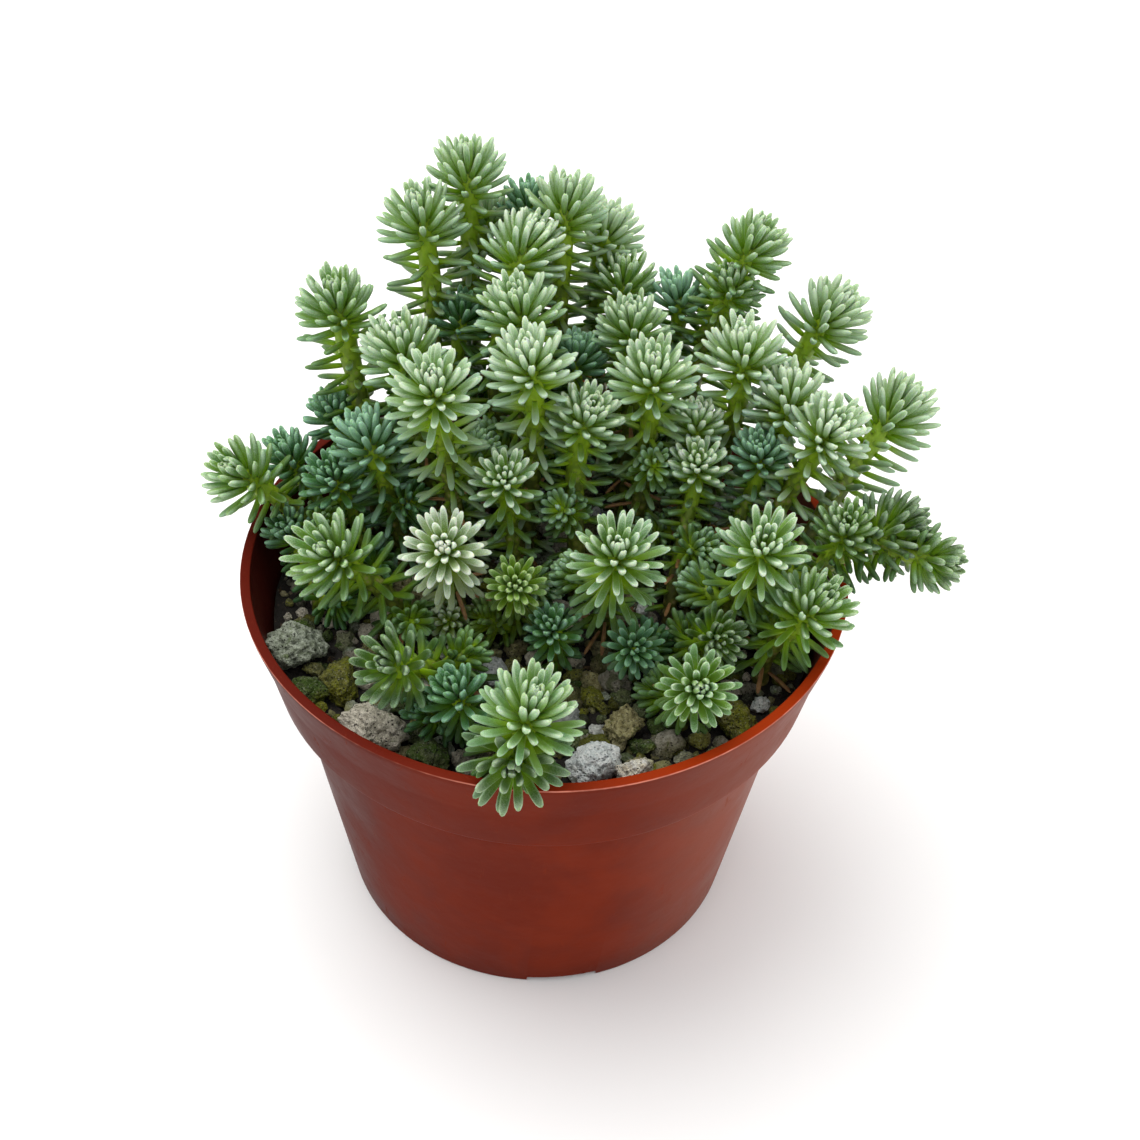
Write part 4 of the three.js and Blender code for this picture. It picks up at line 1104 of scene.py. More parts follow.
def scatter(shape, kind):
    """Points spread over the mix, each with a random shape from a collection"""
    layer, step, tilt, flat, lift = SCATTERED[kind]
    seed = shape.plus(shape.given("Seed"), step)
    spread = shape.node("GeometryNodeDistributePointsOnFaces", {
        "Mesh": shape.given("Geometry"), "Distance Min": shape.given(kind + " Spacing"),
        "Density Max": 900000.0, "Density Factor": shape.attribute(layer), "Seed": seed,
    }, distribute_method="POISSON")
    bits = shape.node("GeometryNodeCollectionInfo", {
        "Collection": shape.given(kind + " Shapes"), "Separate Children": True,
        "Reset Children": True,
    })
    turn = shape.chance((-tilt, -tilt, 0.0), (tilt, tilt, 6.28), seed, "FLOAT_VECTOR")
    stretch = shape.chance((0.8, 0.8, flat[0]), (1.2, 1.2, flat[1]), seed, "FLOAT_VECTOR")
    growth = shape.math("POWER", shape.chance(0.0, 1.0, seed), 1.4)
    growth = shape.node("ShaderNodeMath", {0: growth, 1: 0.6, 2: 0.58}, operation="MULTIPLY_ADD")
    scale = shape.times(growth, shape.given(kind + " Size"))
    raised = shape.node("ShaderNodeCombineXYZ", {"Z": shape.times(scale, lift)})
    bits_on_points = shape.node("GeometryNodeInstanceOnPoints", {
        "Points": shape.out(spread, "Points"), "Instance": bits, "Pick Instance": True,
        "Instance Index": shape.chance(0, 100, seed, "INT"),
        "Rotation": turn, "Scale": shape.vector("SCALE", stretch, scale),
    })
    lifted = shape.node("GeometryNodeTranslateInstances", {
        "Instances": bits_on_points, "Translation": raised, "Local Space": False,
    })
    return shape.node("GeometryNodeStoreNamedAttribute", {
        "Geometry": lifted, "Name": "bit_tone", "Value": shape.chance(-1.0, 1.0, seed),
    }, data_type="FLOAT", domain="INSTANCE")


def mix_tree():
    """The bed of mix with gravel, grit, crumbs and fallen leaves spread over its top"""
    inputs = (("Spacing", "Float"), ("Size", "Float"), ("Shapes", "Collection"))
    shape = ShapeTree("gravel_on_mix", [
        *((f"{kind} {label}", socket) for kind in SCATTERED for label, socket in inputs),
        ("Seed", "Int"), ("Mix Material", "Material"),
    ])
    together = shape.node("GeometryNodeJoinGeometry")
    for kind in SCATTERED:
        shape.tree.links.new(shape.out(scatter(shape, kind)), together.inputs[0])
    bed = shape.node("GeometryNodeSetMaterial", {
        "Geometry": shape.given("Geometry"), "Material": shape.given("Mix Material"),
    })
    shape.tree.links.new(shape.out(bed), together.inputs[0])
    shape.close(together, [])
    return shape


def collection_of(name, objects):
    made = bpy.data.collections.new(name)
    bpy.context.scene.collection.children.link(made)
    for thing in objects:
        bpy.context.scene.collection.objects.unlink(thing)
        made.objects.link(thing)
    return made


def discard(collection):
    """Removes the shapes that were only there to be scattered"""
    for thing in list(collection.objects):
        bpy.data.objects.remove(thing)
    bpy.data.collections.remove(collection)


class STONECROP_OT_mix(bpy.types.Operator):
    """Add the dark potting mix with its grit stones and crumbs"""

    bl_idname = "stonecrop.add_mix"
    bl_label = "Add Potting Mix"

    def execute(self, context):
        settings = context.scene.stonecrop_mix
        earth = mix_material(settings)
        bark = stone_material("bark_crumb", srgb(92, 70, 48), srgb(50, 38, 26), srgb(24, 18, 12))
        dark_grit = stone_material(
            "dark_grit", srgb(104, 106, 90), srgb(60, 62, 48), srgb(26, 26, 20),
            srgb(74, 88, 36), 0.4)
        dry = stone_material(
            "dry_leaf", srgb(134, 104, 68), srgb(84, 60, 38), srgb(50, 34, 20), glaze=0.75)
        slots = (
            "grey", "olive", "speckled", "moss", "tan", "speckled", "olive", "tan", "pale", "moss",
        )
        coats = [stone_coat("stone_" + slot) for slot in slots]
        bits = {
            "Gravel": (coats, 3, 1),
            "Grit": ([dark_grit, *(coats[n] for n in (0, 1, 6, 4, 3, 2))], 2, 31),
            "Crumb": ([earth, bark, earth, dark_grit, earth, bark], 1, 61),
        }
        shapes = {
            kind: [
                pebble_shape(f"{kind.lower()}_{n}", n + seed, detail, coat)
                for n, coat in enumerate(own)
            ]
            for kind, (own, detail, seed) in bits.items()
        }
        shapes["Litter"] = [dry_leaf("dry_leaf", dry)]
        shapes = {
            f"{kind} Shapes": collection_of(kind.lower() + "_shapes", made)
            for kind, made in shapes.items()
        }
        sizes = {
            f"{kind} {part}": getattr(settings, f"{kind}_{part}".lower())
            for kind in SCATTERED for part in ("Spacing", "Size")
        }
        piece = mix_tree().grow("mix_with_gravel", mix_bed(settings), {
            "Seed": settings.seed, "Mix Material": earth, **sizes, **shapes,
        })
        for collection in shapes.values():
            discard(collection)
        finished(piece, ["potting_mix"], sharp=42)
        return {"FINISHED"}


def stone_tree():
    """A rough stone with pores, cut flat underneath and set in its place"""
    shape = ShapeTree("rough_stone", [
        ("Subdivisions", "Int"), ("Half Size", "Vector"), ("Lumps", "Float"),
        ("Pore Depth", "Float"), ("Pore Scale", "Float"), ("Flat Below", "Float"),
        ("Seed", "Int"), ("Place", "Vector"), ("Material", "Material"),
    ])
    ball = shape.node("GeometryNodeMeshIcoSphere", {
        "Radius": 1.0, "Subdivisions": shape.given("Subdivisions"),
    })
    facing = shape.out(shape.node("GeometryNodeInputPosition"))
    place = shape.vector("ADD", facing, shape.vector("SCALE", (4.1, 2.3, 1.7), shape.given("Seed")))
    broad = shape.minus(speckle(shape, place, 1.3, 2.0, 0.6), 0.5)
    lump = shape.times(broad, shape.given("Lumps"))
    fine = shape.minus(speckle(shape, place, 3.6, 5.0, 0.72), 0.5)
    nubs = shape.minus(0.4, cells(shape, place, 3.4))
    fine = shape.plus(shape.times(fine, 0.26), shape.times(nubs, 0.2))
    lump = shape.plus(lump, fine)
    lump = shape.plus(lump, chipped(shape, facing, shape.given("Seed")))
    pits = shape.ranged(
        cells(shape, place, shape.given("Pore Scale")), 0.1, 0.42, 1.0, 0.0)
    some = shape.ranged(speckle(shape, place, 1.9, 1.0), 0.36, 0.54)
    pits = shape.times(shape.times(pits, some), shape.given("Pore Depth"))
    reach = shape.minus(lump, pits)
    rough = shape.node("GeometryNodeSetPosition", {
        "Geometry": shape.out(ball, "Mesh"), "Position": shape.vector("SCALE", facing, reach),
    })
    sized = shape.node("GeometryNodeTransform", {
        "Geometry": rough, "Scale": shape.given("Half Size"),
    })
    parts = shape.node("ShaderNodeSeparateXYZ", {"Vector": shape.node("GeometryNodeInputPosition")})
    base = shape.times(shape.given("Flat Below"), -1.0)
    settled = shape.node("ShaderNodeCombineXYZ", {
        "X": parts.outputs["X"], "Y": parts.outputs["Y"],
        "Z": shape.math("MAXIMUM", parts.outputs["Z"], base),
    })
    flat = shape.node("GeometryNodeSetPosition", {"Geometry": sized, "Position": settled})
    put = shape.node("GeometryNodeTransform", {
        "Geometry": flat, "Translation": shape.given("Place"),
    })
    shape.close(put, [(shape.given("Material"), None)])
    return shape


class STONECROP_OT_stones(bpy.types.Operator):
    """Add the ten loose stones that lie on the mix"""

    bl_idname = "stonecrop.add_stones"
    bl_label = "Add Loose Stones"

    def execute(self, context):
        settings = context.scene.stonecrop_stones
        shape = stone_tree()
        for index, (name, at, size, slot, pores) in enumerate(STONES):
            height = SOIL_TOP + STONE_GAP + size[2] * STONE_FLAT
            piece = shape.grow("loose_" + name, bpy.data.meshes.new(name), {
                "Subdivisions": settings.detail,
                "Half Size": tuple(half * 1.16 * MM for half in size),
                "Lumps": settings.lumps * 1.6, "Pore Depth": pores * settings.pores,
                "Pore Scale": 4.4, "Flat Below": (size[2] * STONE_FLAT + STONE_GAP + 0.4) * MM,
                "Seed": index * 3 + 2,
                "Place": (at[0] * MM, at[1] * MM, height * MM),
                "Material": stone_coat(slot),
            })
            finished(piece, ["stone_" + name])
        return {"FINISHED"}


# Leafy stems

def leaning(heading, lean):
    """A direction that leans from upright towards a heading, both in degrees"""
    turn, tilt = math.radians(heading), math.radians(lean)
    reach = math.sin(tilt)
    return Vector((math.cos(turn) * reach, math.sin(turn) * reach, math.cos(tilt)))


def curve_point(ends, share):
    """A point of a cubic curve from its four control points"""
    rest = 1 - share
    weights = (rest ** 3, 3 * rest ** 2 * share, 3 * rest * share ** 2, share ** 3)
    return sum((point * weight for point, weight in zip(ends, weights)), Vector((0, 0, 0)))


class StemPath:
    """A path with its length, and the place and the axes at any distance along it"""

    def __init__(self, points):
        self.points = points
        self.lengths = [0.0]
        for before, here in zip(points, points[1:]):
            self.lengths.append(self.lengths[-1] + (here - before).length)
        self.total = self.lengths[-1]
        self.axes = []
        side = Vector((1, 0, 0))
        for index in range(len(points)):
            before = points[max(index - 1, 0)]
            after = points[min(index + 1, len(points) - 1)]
            ahead = (after - before).normalized()
            side = (side - ahead * side.dot(ahead)).normalized()
            self.axes.append((ahead, side))

    def at(self, distance):
        wanted = min(max(distance, 0.0), self.total)
        index = 1
        while index < len(self.points) - 1 and self.lengths[index] < wanted:
            index += 1
        share = (wanted - self.lengths[index - 1]) / (self.lengths[index] - self.lengths[index - 1])
        point = self.points[index - 1].lerp(self.points[index], share)
        ahead = self.axes[index - 1][0].lerp(self.axes[index][0], share).normalized()
        side = self.axes[index - 1][1].lerp(self.axes[index][1], share)
        side = (side - ahead * side.dot(ahead)).normalized()
        return point, ahead, side, ahead.cross(side)


def smooth_path(start, direction, shoot, below=()):
    """The path of a shoot from where it starts to its head"""
    head = Vector(shoot["tip"])
    reach = (head - start).length
    ends = (
        start, start + direction * reach * CURVE_RISE,
        head - leaning(*shoot["lean"]) * reach * CURVE_LEAD, head,
    )
    return StemPath(list(below) + [curve_point(ends, step / 48) for step in range(49)])


def shoots_of(plant):
    """The stem and its side shoots, each with its path"""
    rooted = Vector((*plant["foot"], STEM_STRAIGHT_TOP))
    ground = Vector((*plant["foot"], STEM_BOTTOM))
    main = smooth_path(rooted, leaning(*plant["rising"]), plant, [ground])
    shoots = [{**plant, "path": main, "side_shoot": False}]
    for side_shoot in plant["branches"]:
        point, ahead, _, _ = main.at(main.total * side_shoot["at"])
        path = smooth_path(point, ahead, side_shoot)
        shoots.append({**side_shoot, "path": path, "side_shoot": True})
    return shoots


def sprouts(most):
    """Young shoots that fill the gaps low between the stems, by the name of their stem"""
    grown = {plant["name"]: shoots_of(plant) for plant in STEMS}
    young = {name: [] for name in grown}
    paths = [shoot["path"].points[2::3] for shoots in grown.values() for shoot in shoots]
    taken = [point for path in paths for point in path]
    dice = random.Random(11)
    for _ in range(most * 16):
        for name, shoots in grown.items():
            path = shoots[0]["path"]
            share = dice.uniform(0.2, 0.55)
            heading = dice.uniform(0, 360)
            reach, rise = dice.uniform(3.5, 6.5), dice.uniform(2.5, 6)
            start, ahead, _, _ = path.at(path.total * share)
            tip = start + leaning(heading, 90) * reach + Vector((0, 0, rise))
            if len(young[name]) == most or math.hypot(tip.x, tip.y) > 36 or tip.z < 58:
                continue
            if blocked(tip, 4.0) > 0 or min((tip - other).length for other in taken) < 4.9:
                continue
            shoot = {
                "tip": tuple(tip), "lean": (heading, dice.uniform(20, 50)),
                "leaf": dice.uniform(3.6, 4.4), "leafy": 4, "side_shoot": True, "young": True,
            }
            shoot["path"] = smooth_path(start, ahead, shoot)
            young[name].append(shoot)
            taken.extend(shoot["path"].points[24::6])
    return young


class Neighbours:
    """Remembers where leaves and stems are, so that a new leaf keeps clear of the others"""

    CELL = 3.0

    def __init__(self):
        self.cells = {}

    def key(self, point):
        return tuple(int(math.floor(value / self.CELL)) for value in point)

    def add(self, point, size, owner):
        self.cells.setdefault(self.key(point), []).append((point, size, owner))

    def touched(self, point, size, owner):
        """How deep a ball would reach into those of other owners"""
        x, y, z = self.key(point)
        deepest = 0.0
        for dx in (-1, 0, 1):
            for dy in (-1, 0, 1):
                for dz in (-1, 0, 1):
                    for other, reach, whose in self.cells.get((x + dx, y + dy, z + dz), ()):
                        if whose != owner:
                            deepest = max(deepest, size + reach - (other - point).length)
        return deepest


def wall_radius(height):
    """How far the inside of the pot is from its axis at a height"""
    low, high = RIM_RADIUS - COLLAR_TAPER - WALL, RIM_RADIUS - LIP_WIDTH
    share = (height - (POT_TOP - COLLAR_DROP)) / (COLLAR_DROP - LIP_DROP)
    if share <= 0:
        return SHOULDER_RADIUS - WALL
    return low + (high - low) * min(share, 1.0)


def blocked(point, size):
    """How deep a ball would reach into the pot, the mix or a loose stone"""
    reach = math.hypot(point.x, point.y)
    deepest = SOIL_TOP + 0.4 + size * 0.6 - point.z
    top = POT_TOP + 0.4 + size
    if point.z < top:
        inner, outer = wall_radius(point.z) - size, RIM_RADIUS + size
        if inner < reach < outer:
            deepest = max(deepest, min(reach - inner, top - point.z, outer - reach))
    for _, at, half, _, _ in STONES:
        middle = SOIL_TOP + STONE_GAP + half[2] * STONE_FLAT
        away = Vector((
            (point.x - at[0]) / half[0], (point.y - at[1]) / half[1], (point.z - middle) / half[2],
        )).length
        deepest = max(deepest, (1.0 - away) * min(half) + size * 0.5)
    return deepest


# By where a stem stands: breadth of its leaves, crowding of its heads, length of its low leaves
ROWS = {
    "back": (0.66, 1.04, 0.95), "middle": (0.7, 1.16, 0.8), "right": (0.7, 1.1, 0.86),
    "left": (0.73, 0.98, 0.86), "front": (0.69, 0.96, 0.86),
}

# Shoots whose leaves are broader than their neighbours'
BROAD = {
    "front_11_0": 1.06, "front_11_1": 1.25, "front_2_0": 1.04, "left_7_0": 1.08, "front_10_0": 1.25,
    "front_9_0": 1.1, "front_12_0": 1.1,
}

# Shoots with more or fewer leaves in the head than others
FULLNESS = {"front_11_0": 1.25, "front_11_1": 0.66, "front_10_0": 0.72}

# Shoots that differ from their neighbours: share of bloom, and how far their leaves are darkened
# with painted shade (or, below 0, lightened with painted light)
BLOOM_AND_SHADING = {
    "left_2_0": (1.2, -0.15), "left_4_0": (1.7, -0.6), "left_5_0": (1.2, -0.25),
    "back_1_0": (1.1, -0.3), "back_2_0": (1.1, -0.35), "back_3_0": (1.1, -0.4),
    "back_1_1": (1.3, -0.7), "back_5_0": (1.3, -0.8), "back_8_0": (1.0, -0.2),
    "back_4_0": (1.4, -0.35), "back_9_0": (1.8, -1.0), "middle_11_0": (1.3, -0.35),
    "middle_4_0": (1.2, -0.55), "middle_5_0": (1.05, -0.3), "middle_6_0": (0.95, -0.05),
    "middle_7_0": (1.0, -0.35), "middle_8_0": (1.1, -0.45), "middle_9_0": (0.9, -0.25),
    "middle_2_0": (0.85, 0.0), "middle_3_0": (0.7, 0.15), "middle_10_0": (0.8, 0.1),
    "right_1_0": (1.1, -0.4), "right_2_0": (1.15, -0.45), "right_3_0": (1.2, -0.45),
    "right_6_0": (1.1, -0.4), "front_13_0": (0.5, 0.7), "front_10_0": (0.45, 0.75),
    "right_7_0": (0.5, 0.9), "right_7_1": (0.6, 0.6), "right_7_2": (0.8, 0.3),
    "front_11_0": (0.6, 0.0), "front_11_1": (0.35, 1.0), "front_6_0": (0.6, -0.3),
    "front_3_0": (0.9, 0.15), "left_6_0": (0.7, 0.6), "front_8_0": (0.85, 0.15),
    "front_9_0": (0.75, 0.1), "front_2_0": (1.15, -0.3), "front_5_0": (0.9, 0.2),
}

# A leaf keeps clear of what is round it with three balls: their places along it and their sizes
LEAF_BALLS = ((0.45, 0.5), (0.72, 0.62), (0.93, 0.5))

# How a leaf may turn and open, in degrees, and shorten to keep clear of its neighbours
TRIES = (
    (0, 0, 1.0), (9, -3, 1.0), (-9, -3, 1.0), (0, -12, 1.0), (0, 12, 1.0), (17, -8, 0.96),
    (-17, -8, 0.96), (12, -20, 0.92), (-12, -20, 0.92), (0, -28, 0.9), (0, 8, 0.8),
    (14, -16, 0.78), (-14, -16, 0.78), (0, -34, 0.75), (0, 0, 0.62), (20, -30, 0.62),
    (-20, -30, 0.62), (0, -40, 0.55),
)


def leaf_ages(shoot, settings):
    """Distance below the tip, opening, length share and age of each leaf, from the bud down"""
    small = 0.66 if shoot["leaf"] < 4.5 else 0.78 if shoot["leaf"] < 5.5 else 1.0
    head = int(settings.head_leaves * shoot["crowding"])
    head = int(head * FULLNESS.get(shoot["owner"], small))
    low_share = shoot["low_length"]
    closed, wide = math.radians(12), math.radians(82)
    bud_depth = 0.8 * shoot["leaf"]
    ages = []
    for index in range(head):
        share = (index + 0.5) / head
        opening = closed + (wide - closed) * share ** 1.08
        length = 0.44 + 0.56 * min(1.0, share / 0.36) ** 0.9
        ages.append((0.25 + bud_depth * share, opening, length, 0.5 * share))
    down = ages[-1][0]
    leafy = shoot["leafy"]
    while down < leafy:
        down += settings.leaf_step / MM
        share = min(1.0, (down - bud_depth) / max(leafy - bud_depth, 1.0))
        opening = wide + math.radians(11 * share)
        ages.append((down, opening, 1.0 - (1.0 - low_share) * share, 0.5 + 0.3 * share))
    step = 0.4
    base = shoot["path"].total - (9.5 if not shoot["side_shoot"] else 1.0)
    while down < base:
        down += step
        step *= 1.01
        low = min(1.0, (down - leafy) / 18)
        opening = wide + math.radians(12 + 6 * low)
        ages.append((down, opening, low_share - 0.14 * low, 0.82 + 0.18 * low))
    if shoot.get("young"):
        ages = [(*entry[:3], 0.5 + 0.42 * entry[3]) for entry in ages]
    return ages


def stem_width(shoot, down, settings):
    """Half the thickness of a stem at a distance below its tip"""
    full = settings.stem_radius / MM
    if shoot["side_shoot"] or shoot["leaf"] < 5.5:
        full *= 0.8
    leafy = 1.0 + 0.4 * max(0.0, 1 - down / (shoot["leafy"] + 5))
    return full * min(1.0, 0.14 + 0.3 * down) * leafy * (1.0 + 0.12 * min(1.0, down / 30))


def place_leaves(settings):
    """Every shoot with its leaves, placed from the buds down, so that the heads get their room"""
    near = Neighbours()
    young = sprouts(settings.sprouts)
    shoots = []
    for plant in STEMS:
        for number, shoot in enumerate(shoots_of(plant) + young[plant["name"]]):
            shoot["owner"] = f"{plant['name']}_{number}"
            row = ROWS[plant["name"].split("_")[0]]
            shoot["breadth"], shoot["crowding"], shoot["low_length"] = row
            shoot["plant"] = plant
            shoot["dice"] = random.Random(shoot["owner"])
            shoot["turn"] = shoot["dice"].uniform(0, math.tau)
            tint = (shoot["dice"].uniform(0.85, 1.1), shoot["dice"].uniform(-0.08, 0.1))
            shoot["frost"], shoot["dark"] = BLOOM_AND_SHADING.get(shoot["owner"], tint)
            shoot["ages"] = leaf_ages(shoot, settings)
            shoot["leaves"] = []
            shoots.append(shoot)
            steps = int(shoot["path"].total)
            for step in range(1, steps + 1):
                point = shoot["path"].at(step)[0]
                near.add(point, settings.stem_radius / MM, plant["name"])
    most = max(len(shoot["ages"]) for shoot in shoots)
    for index in range(most):
        for shoot in shoots:
            if index < len(shoot["ages"]):
                place_leaf(shoot, index, near, settings)
    return shoots


def laid(leaf, joint, change):
    """A leaf as it lies when it is turned, opened and shortened by one of the tries"""
    point, ahead, side, across = joint
    turned_by, opened_by, shortened = change
    angle = leaf["turn"] + math.radians(turned_by)
    opening = max(0.12, leaf["opening"] + math.radians(opened_by))
    outward = side * math.cos(angle) + across * math.sin(angle)
    along = ahead * math.cos(opening) + outward * math.sin(opening)
    upward = ahead * math.sin(opening) - outward * math.cos(opening)
    length = leaf["length"] * shortened
    bend = upward * leaf["curl"] * length + along.cross(upward) * leaf["sway"] * length
    bend -= Vector((0, 0, leaf["droop"] * length))
    return {
        **leaf, "base": point + outward * leaf["root"], "along": along, "upward": upward,
        "bend": bend, "length": length,
    }


def balls(leaf):
    """The middles and sizes of a leaf's balls"""
    for at, size in LEAF_BALLS:
        middle = leaf["base"] + leaf["along"] * leaf["length"] * at + leaf["bend"] * at * at
        yield middle, size * (leaf["width"] / 1.8)


def place_leaf(shoot, index, near, settings):
    """One leaf of a shoot, laid clear of what is round it or left out where it can't be"""
    dice = shoot["dice"]
    down, opening, share, age = shoot["ages"][index]
    leaf = {"age": age, "root": stem_width(shoot, down, settings) * 0.7}
    leaf["turn"] = shoot["turn"] + index * settings.divergence + dice.uniform(-0.12, 0.12)
    leaf["opening"] = opening + dice.uniform(-0.09, 0.09)
    leaf["length"] = (shoot["leaf"] - 0.35) * share * dice.uniform(0.92, 1.05)
    width = settings.leaf_width / MM * (0.5 + 0.5 * min(1.0, share / 0.95))
    width *= BROAD.get(shoot["owner"], 1.0) * shoot["breadth"] * (0.72 + 0.045 * shoot["leaf"])
    leaf["width"] = width * (1 + dice.uniform(-0.07, 0.07))
    leaf["chance"] = dice.random()
    leaf["curl"] = dice.uniform(0.08, 0.2) - 0.1 * age + 0.16 * max(0.0, 1 - age / 0.14)
    leaf["droop"] = settings.droop * max(0.0, age - 0.6) * dice.uniform(0.8, 2.0)
    leaf["sway"] = dice.uniform(-0.05, 0.05)
    if age > 0.81 and dice.random() < 0.08:
        return
    withered = age > 0.9 and dice.random() < settings.withered
    joint = shoot["path"].at(shoot["path"].total - down)
    best, least = None, math.inf
    for change in TRIES:
        tried = laid(leaf, joint, change)
        depth = 0.0
        for middle, size in balls(tried):
            depth = max(depth, blocked(middle, size))
            if index:
                depth = max(depth, near.touched(middle, size, shoot["owner"]))
        if depth < least - 0.02:
            best, least = tried, depth
        if depth <= 0.0:
            break
    if least > (0.75 if age < 0.4 else 0.3):
        return
    for middle, size in balls(best):
        near.add(middle, size, shoot["owner"])
    thickness = settings.leaf_thickness / MM * (0.62 + 0.38 * share) * (0.6 if withered else 1.0)
    thickness *= math.sqrt(shoot["breadth"])
    best["size"] = (best["width"] * (0.7 if withered else 1.0), thickness, best["length"])
    best["withered"] = float(withered)
    shoot["leaves"].append(best)


def leaf_shape():
    """One blunt club-shaped leaf, a unit long and wide, with its places along and across"""
    sections = [
        (0.0, 0.6, 0.66), (0.18, 0.8, 0.86), (0.46, 0.95, 0.98), (0.72, 1.0, 1.0),
        (0.88, 0.86, 0.82), (0.968, 0.5, 0.46),
    ]
    ring = [
        (1.0, 0.05), (0.74, 0.34), (0.0, 0.24), (-0.74, 0.34), (-1.0, 0.05), (-0.70, -0.40),
        (0.0, -0.62), (0.70, -0.40),
    ]
    points, along, across = [], [], []
    for at, wide, thick in sections:
        for x, y in ring:
            points.append((x * wide * 0.5, y * thick, at))
            along.append(at)
            across.append(x)
    tip = len(points)
    points.append((0.0, -0.08, 1.0))
    along.append(1.0)
    across.append(0.0)
    faces = [tuple(reversed(range(8)))]
    for row in range(len(sections) - 1):
        faces += band(row * 8, row * 8 + 8, 8)
    last = (len(sections) - 1) * 8
    faces += [(last + corner, last + (corner + 1) % 8, tip) for corner in range(8)]
    mesh = bpy.data.meshes.new("leaf_shape")
    mesh.from_pydata(points, [], faces)
    carry(mesh, "along", along)
    carry(mesh, "across", across)
    carry(mesh, "blade", [1.0] * len(points))
    return added("leaf_shape", mesh)


def leafy_tree():
    """A tube along each stem's edges and one leaf on each loose point"""
    shape = ShapeTree("leafy_stem", [
        ("Leaf Shape", "Object"), ("Stem Sides", "Int"), ("Knobbles", "Float"),
        ("Leaf Material", "Material"), ("Stem Material", "Material"),
    ])
    parts = shape.node("GeometryNodeSeparateGeometry", {
        "Geometry": shape.given("Geometry"), "Selection": shape.attribute("is_leaf", "BOOLEAN"),
    }, domain="POINT")
    leaf = shape.node("GeometryNodeObjectInfo", {"Object": shape.given("Leaf Shape")})
    leaves = shape.node("GeometryNodeInstanceOnPoints", {
        "Points": parts.outputs["Selection"], "Instance": leaf.outputs["Geometry"],
        "Rotation": shape.attribute("leaf_turn", "FLOAT_VECTOR"),
        "Scale": shape.attribute("leaf_size", "FLOAT_VECTOR"),
    })
    leaves = shape.node("GeometryNodeRealizeInstances", {"Geometry": leaves})
    along = shape.attribute("along")
    bend = shape.vector(
        "SCALE", shape.attribute("leaf_bend", "FLOAT_VECTOR"), shape.times(along, along))
    leaves = shape.node("GeometryNodeSetPosition", {"Geometry": leaves, "Offset": bend})

    lines = shape.node("GeometryNodeMeshToCurve", {"Mesh": parts.outputs["Inverted"]})
    circle = shape.node("GeometryNodeCurvePrimitiveCircle", {
        "Resolution": shape.given("Stem Sides"), "Radius": 1.0,
    })
    tube = shape.node("GeometryNodeCurveToMesh", {
        "Curve": lines, "Profile Curve": shape.out(circle, "Curve"),
        "Scale": shape.attribute("stem_width"), "Fill Caps": True,
    })
    scaled = shape.vector("SCALE", shape.node("GeometryNodeInputPosition"), 1 / MM)
    scars = shape.minus(speckle(shape, scaled, 0.75, 2.0, 0.6), 0.5)
    push = shape.vector(
        "SCALE", shape.node("GeometryNodeInputNormal"),
        shape.times(scars, shape.given("Knobbles")))
    tube = shape.node("GeometryNodeSetPosition", {"Geometry": tube, "Offset": push})

    together = shape.node("GeometryNodeJoinGeometry")
    shape.tree.links.new(shape.out(leaves), together.inputs[0])
    shape.tree.links.new(shape.out(tube), together.inputs[0])
    on_leaf = shape.node("FunctionNodeCompare", {
        "A": shape.attribute("blade"), "B": 0.5,
    }, data_type="FLOAT", operation="GREATER_THAN")
    shape.close(together, [
        (shape.given("Stem Material"), None), (shape.given("Leaf Material"), on_leaf),
    ])
    return shape


# What the points of a leafy stem's base mesh carry
CARRIED = {
    "FLOAT": (
        "stem_width", "stem_age", "leaf_chance", "leaf_age", "leaf_wither", "leaf_frost",
        "leaf_shading",
    ),
    "FLOAT_VECTOR": ("leaf_turn", "leaf_size", "leaf_bend"),
    "BOOLEAN": ("is_leaf",),
}
BLANKS = {"FLOAT": 0.0, "FLOAT_VECTOR": (0.0, 0.0, 0.0), "BOOLEAN": False}


def skeleton(name, shoots, settings):
    """The base mesh of a leafy stem: its paths as edges and its leaves as loose points"""
    points, edges, values = [], [], []
    for shoot in shoots:
        path = shoot["path"]
        steps = max(int(path.total / 0.9), 8)
        for step in range(steps + 1):
            distance = path.total * step / steps
            down = path.total - distance
            if step:
                edges.append((len(points) - 1, len(points)))
            points.append(path.at(distance)[0])
            values.append({
                "stem_width": stem_width(shoot, down, settings) * MM,
                "stem_age": min(1.0, down / max(path.total, 30.0)),
            })
    for shoot in shoots:
        for leaf in shoot["leaves"]:
            across = leaf["upward"].cross(leaf["along"])
            turn = Matrix((across, leaf["upward"], leaf["along"])).transposed()
            points.append(leaf["base"])
            values.append({
                "is_leaf": True, "leaf_turn": tuple(turn.to_euler()),
                "leaf_size": tuple(value * MM for value in leaf["size"]),
                "leaf_bend": tuple(leaf["bend"] * MM), "leaf_chance": leaf["chance"],
                "leaf_age": leaf["age"], "leaf_wither": leaf["withered"],
                "leaf_frost": shoot["frost"], "leaf_shading": shoot["dark"],
            })
    mesh = plain_mesh(name, points, edges=edges)
    for kind, layers in CARRIED.items():
        for layer in layers:
            carry(mesh, layer, [value.get(layer, BLANKS[kind]) for value in values], kind)
    return mesh


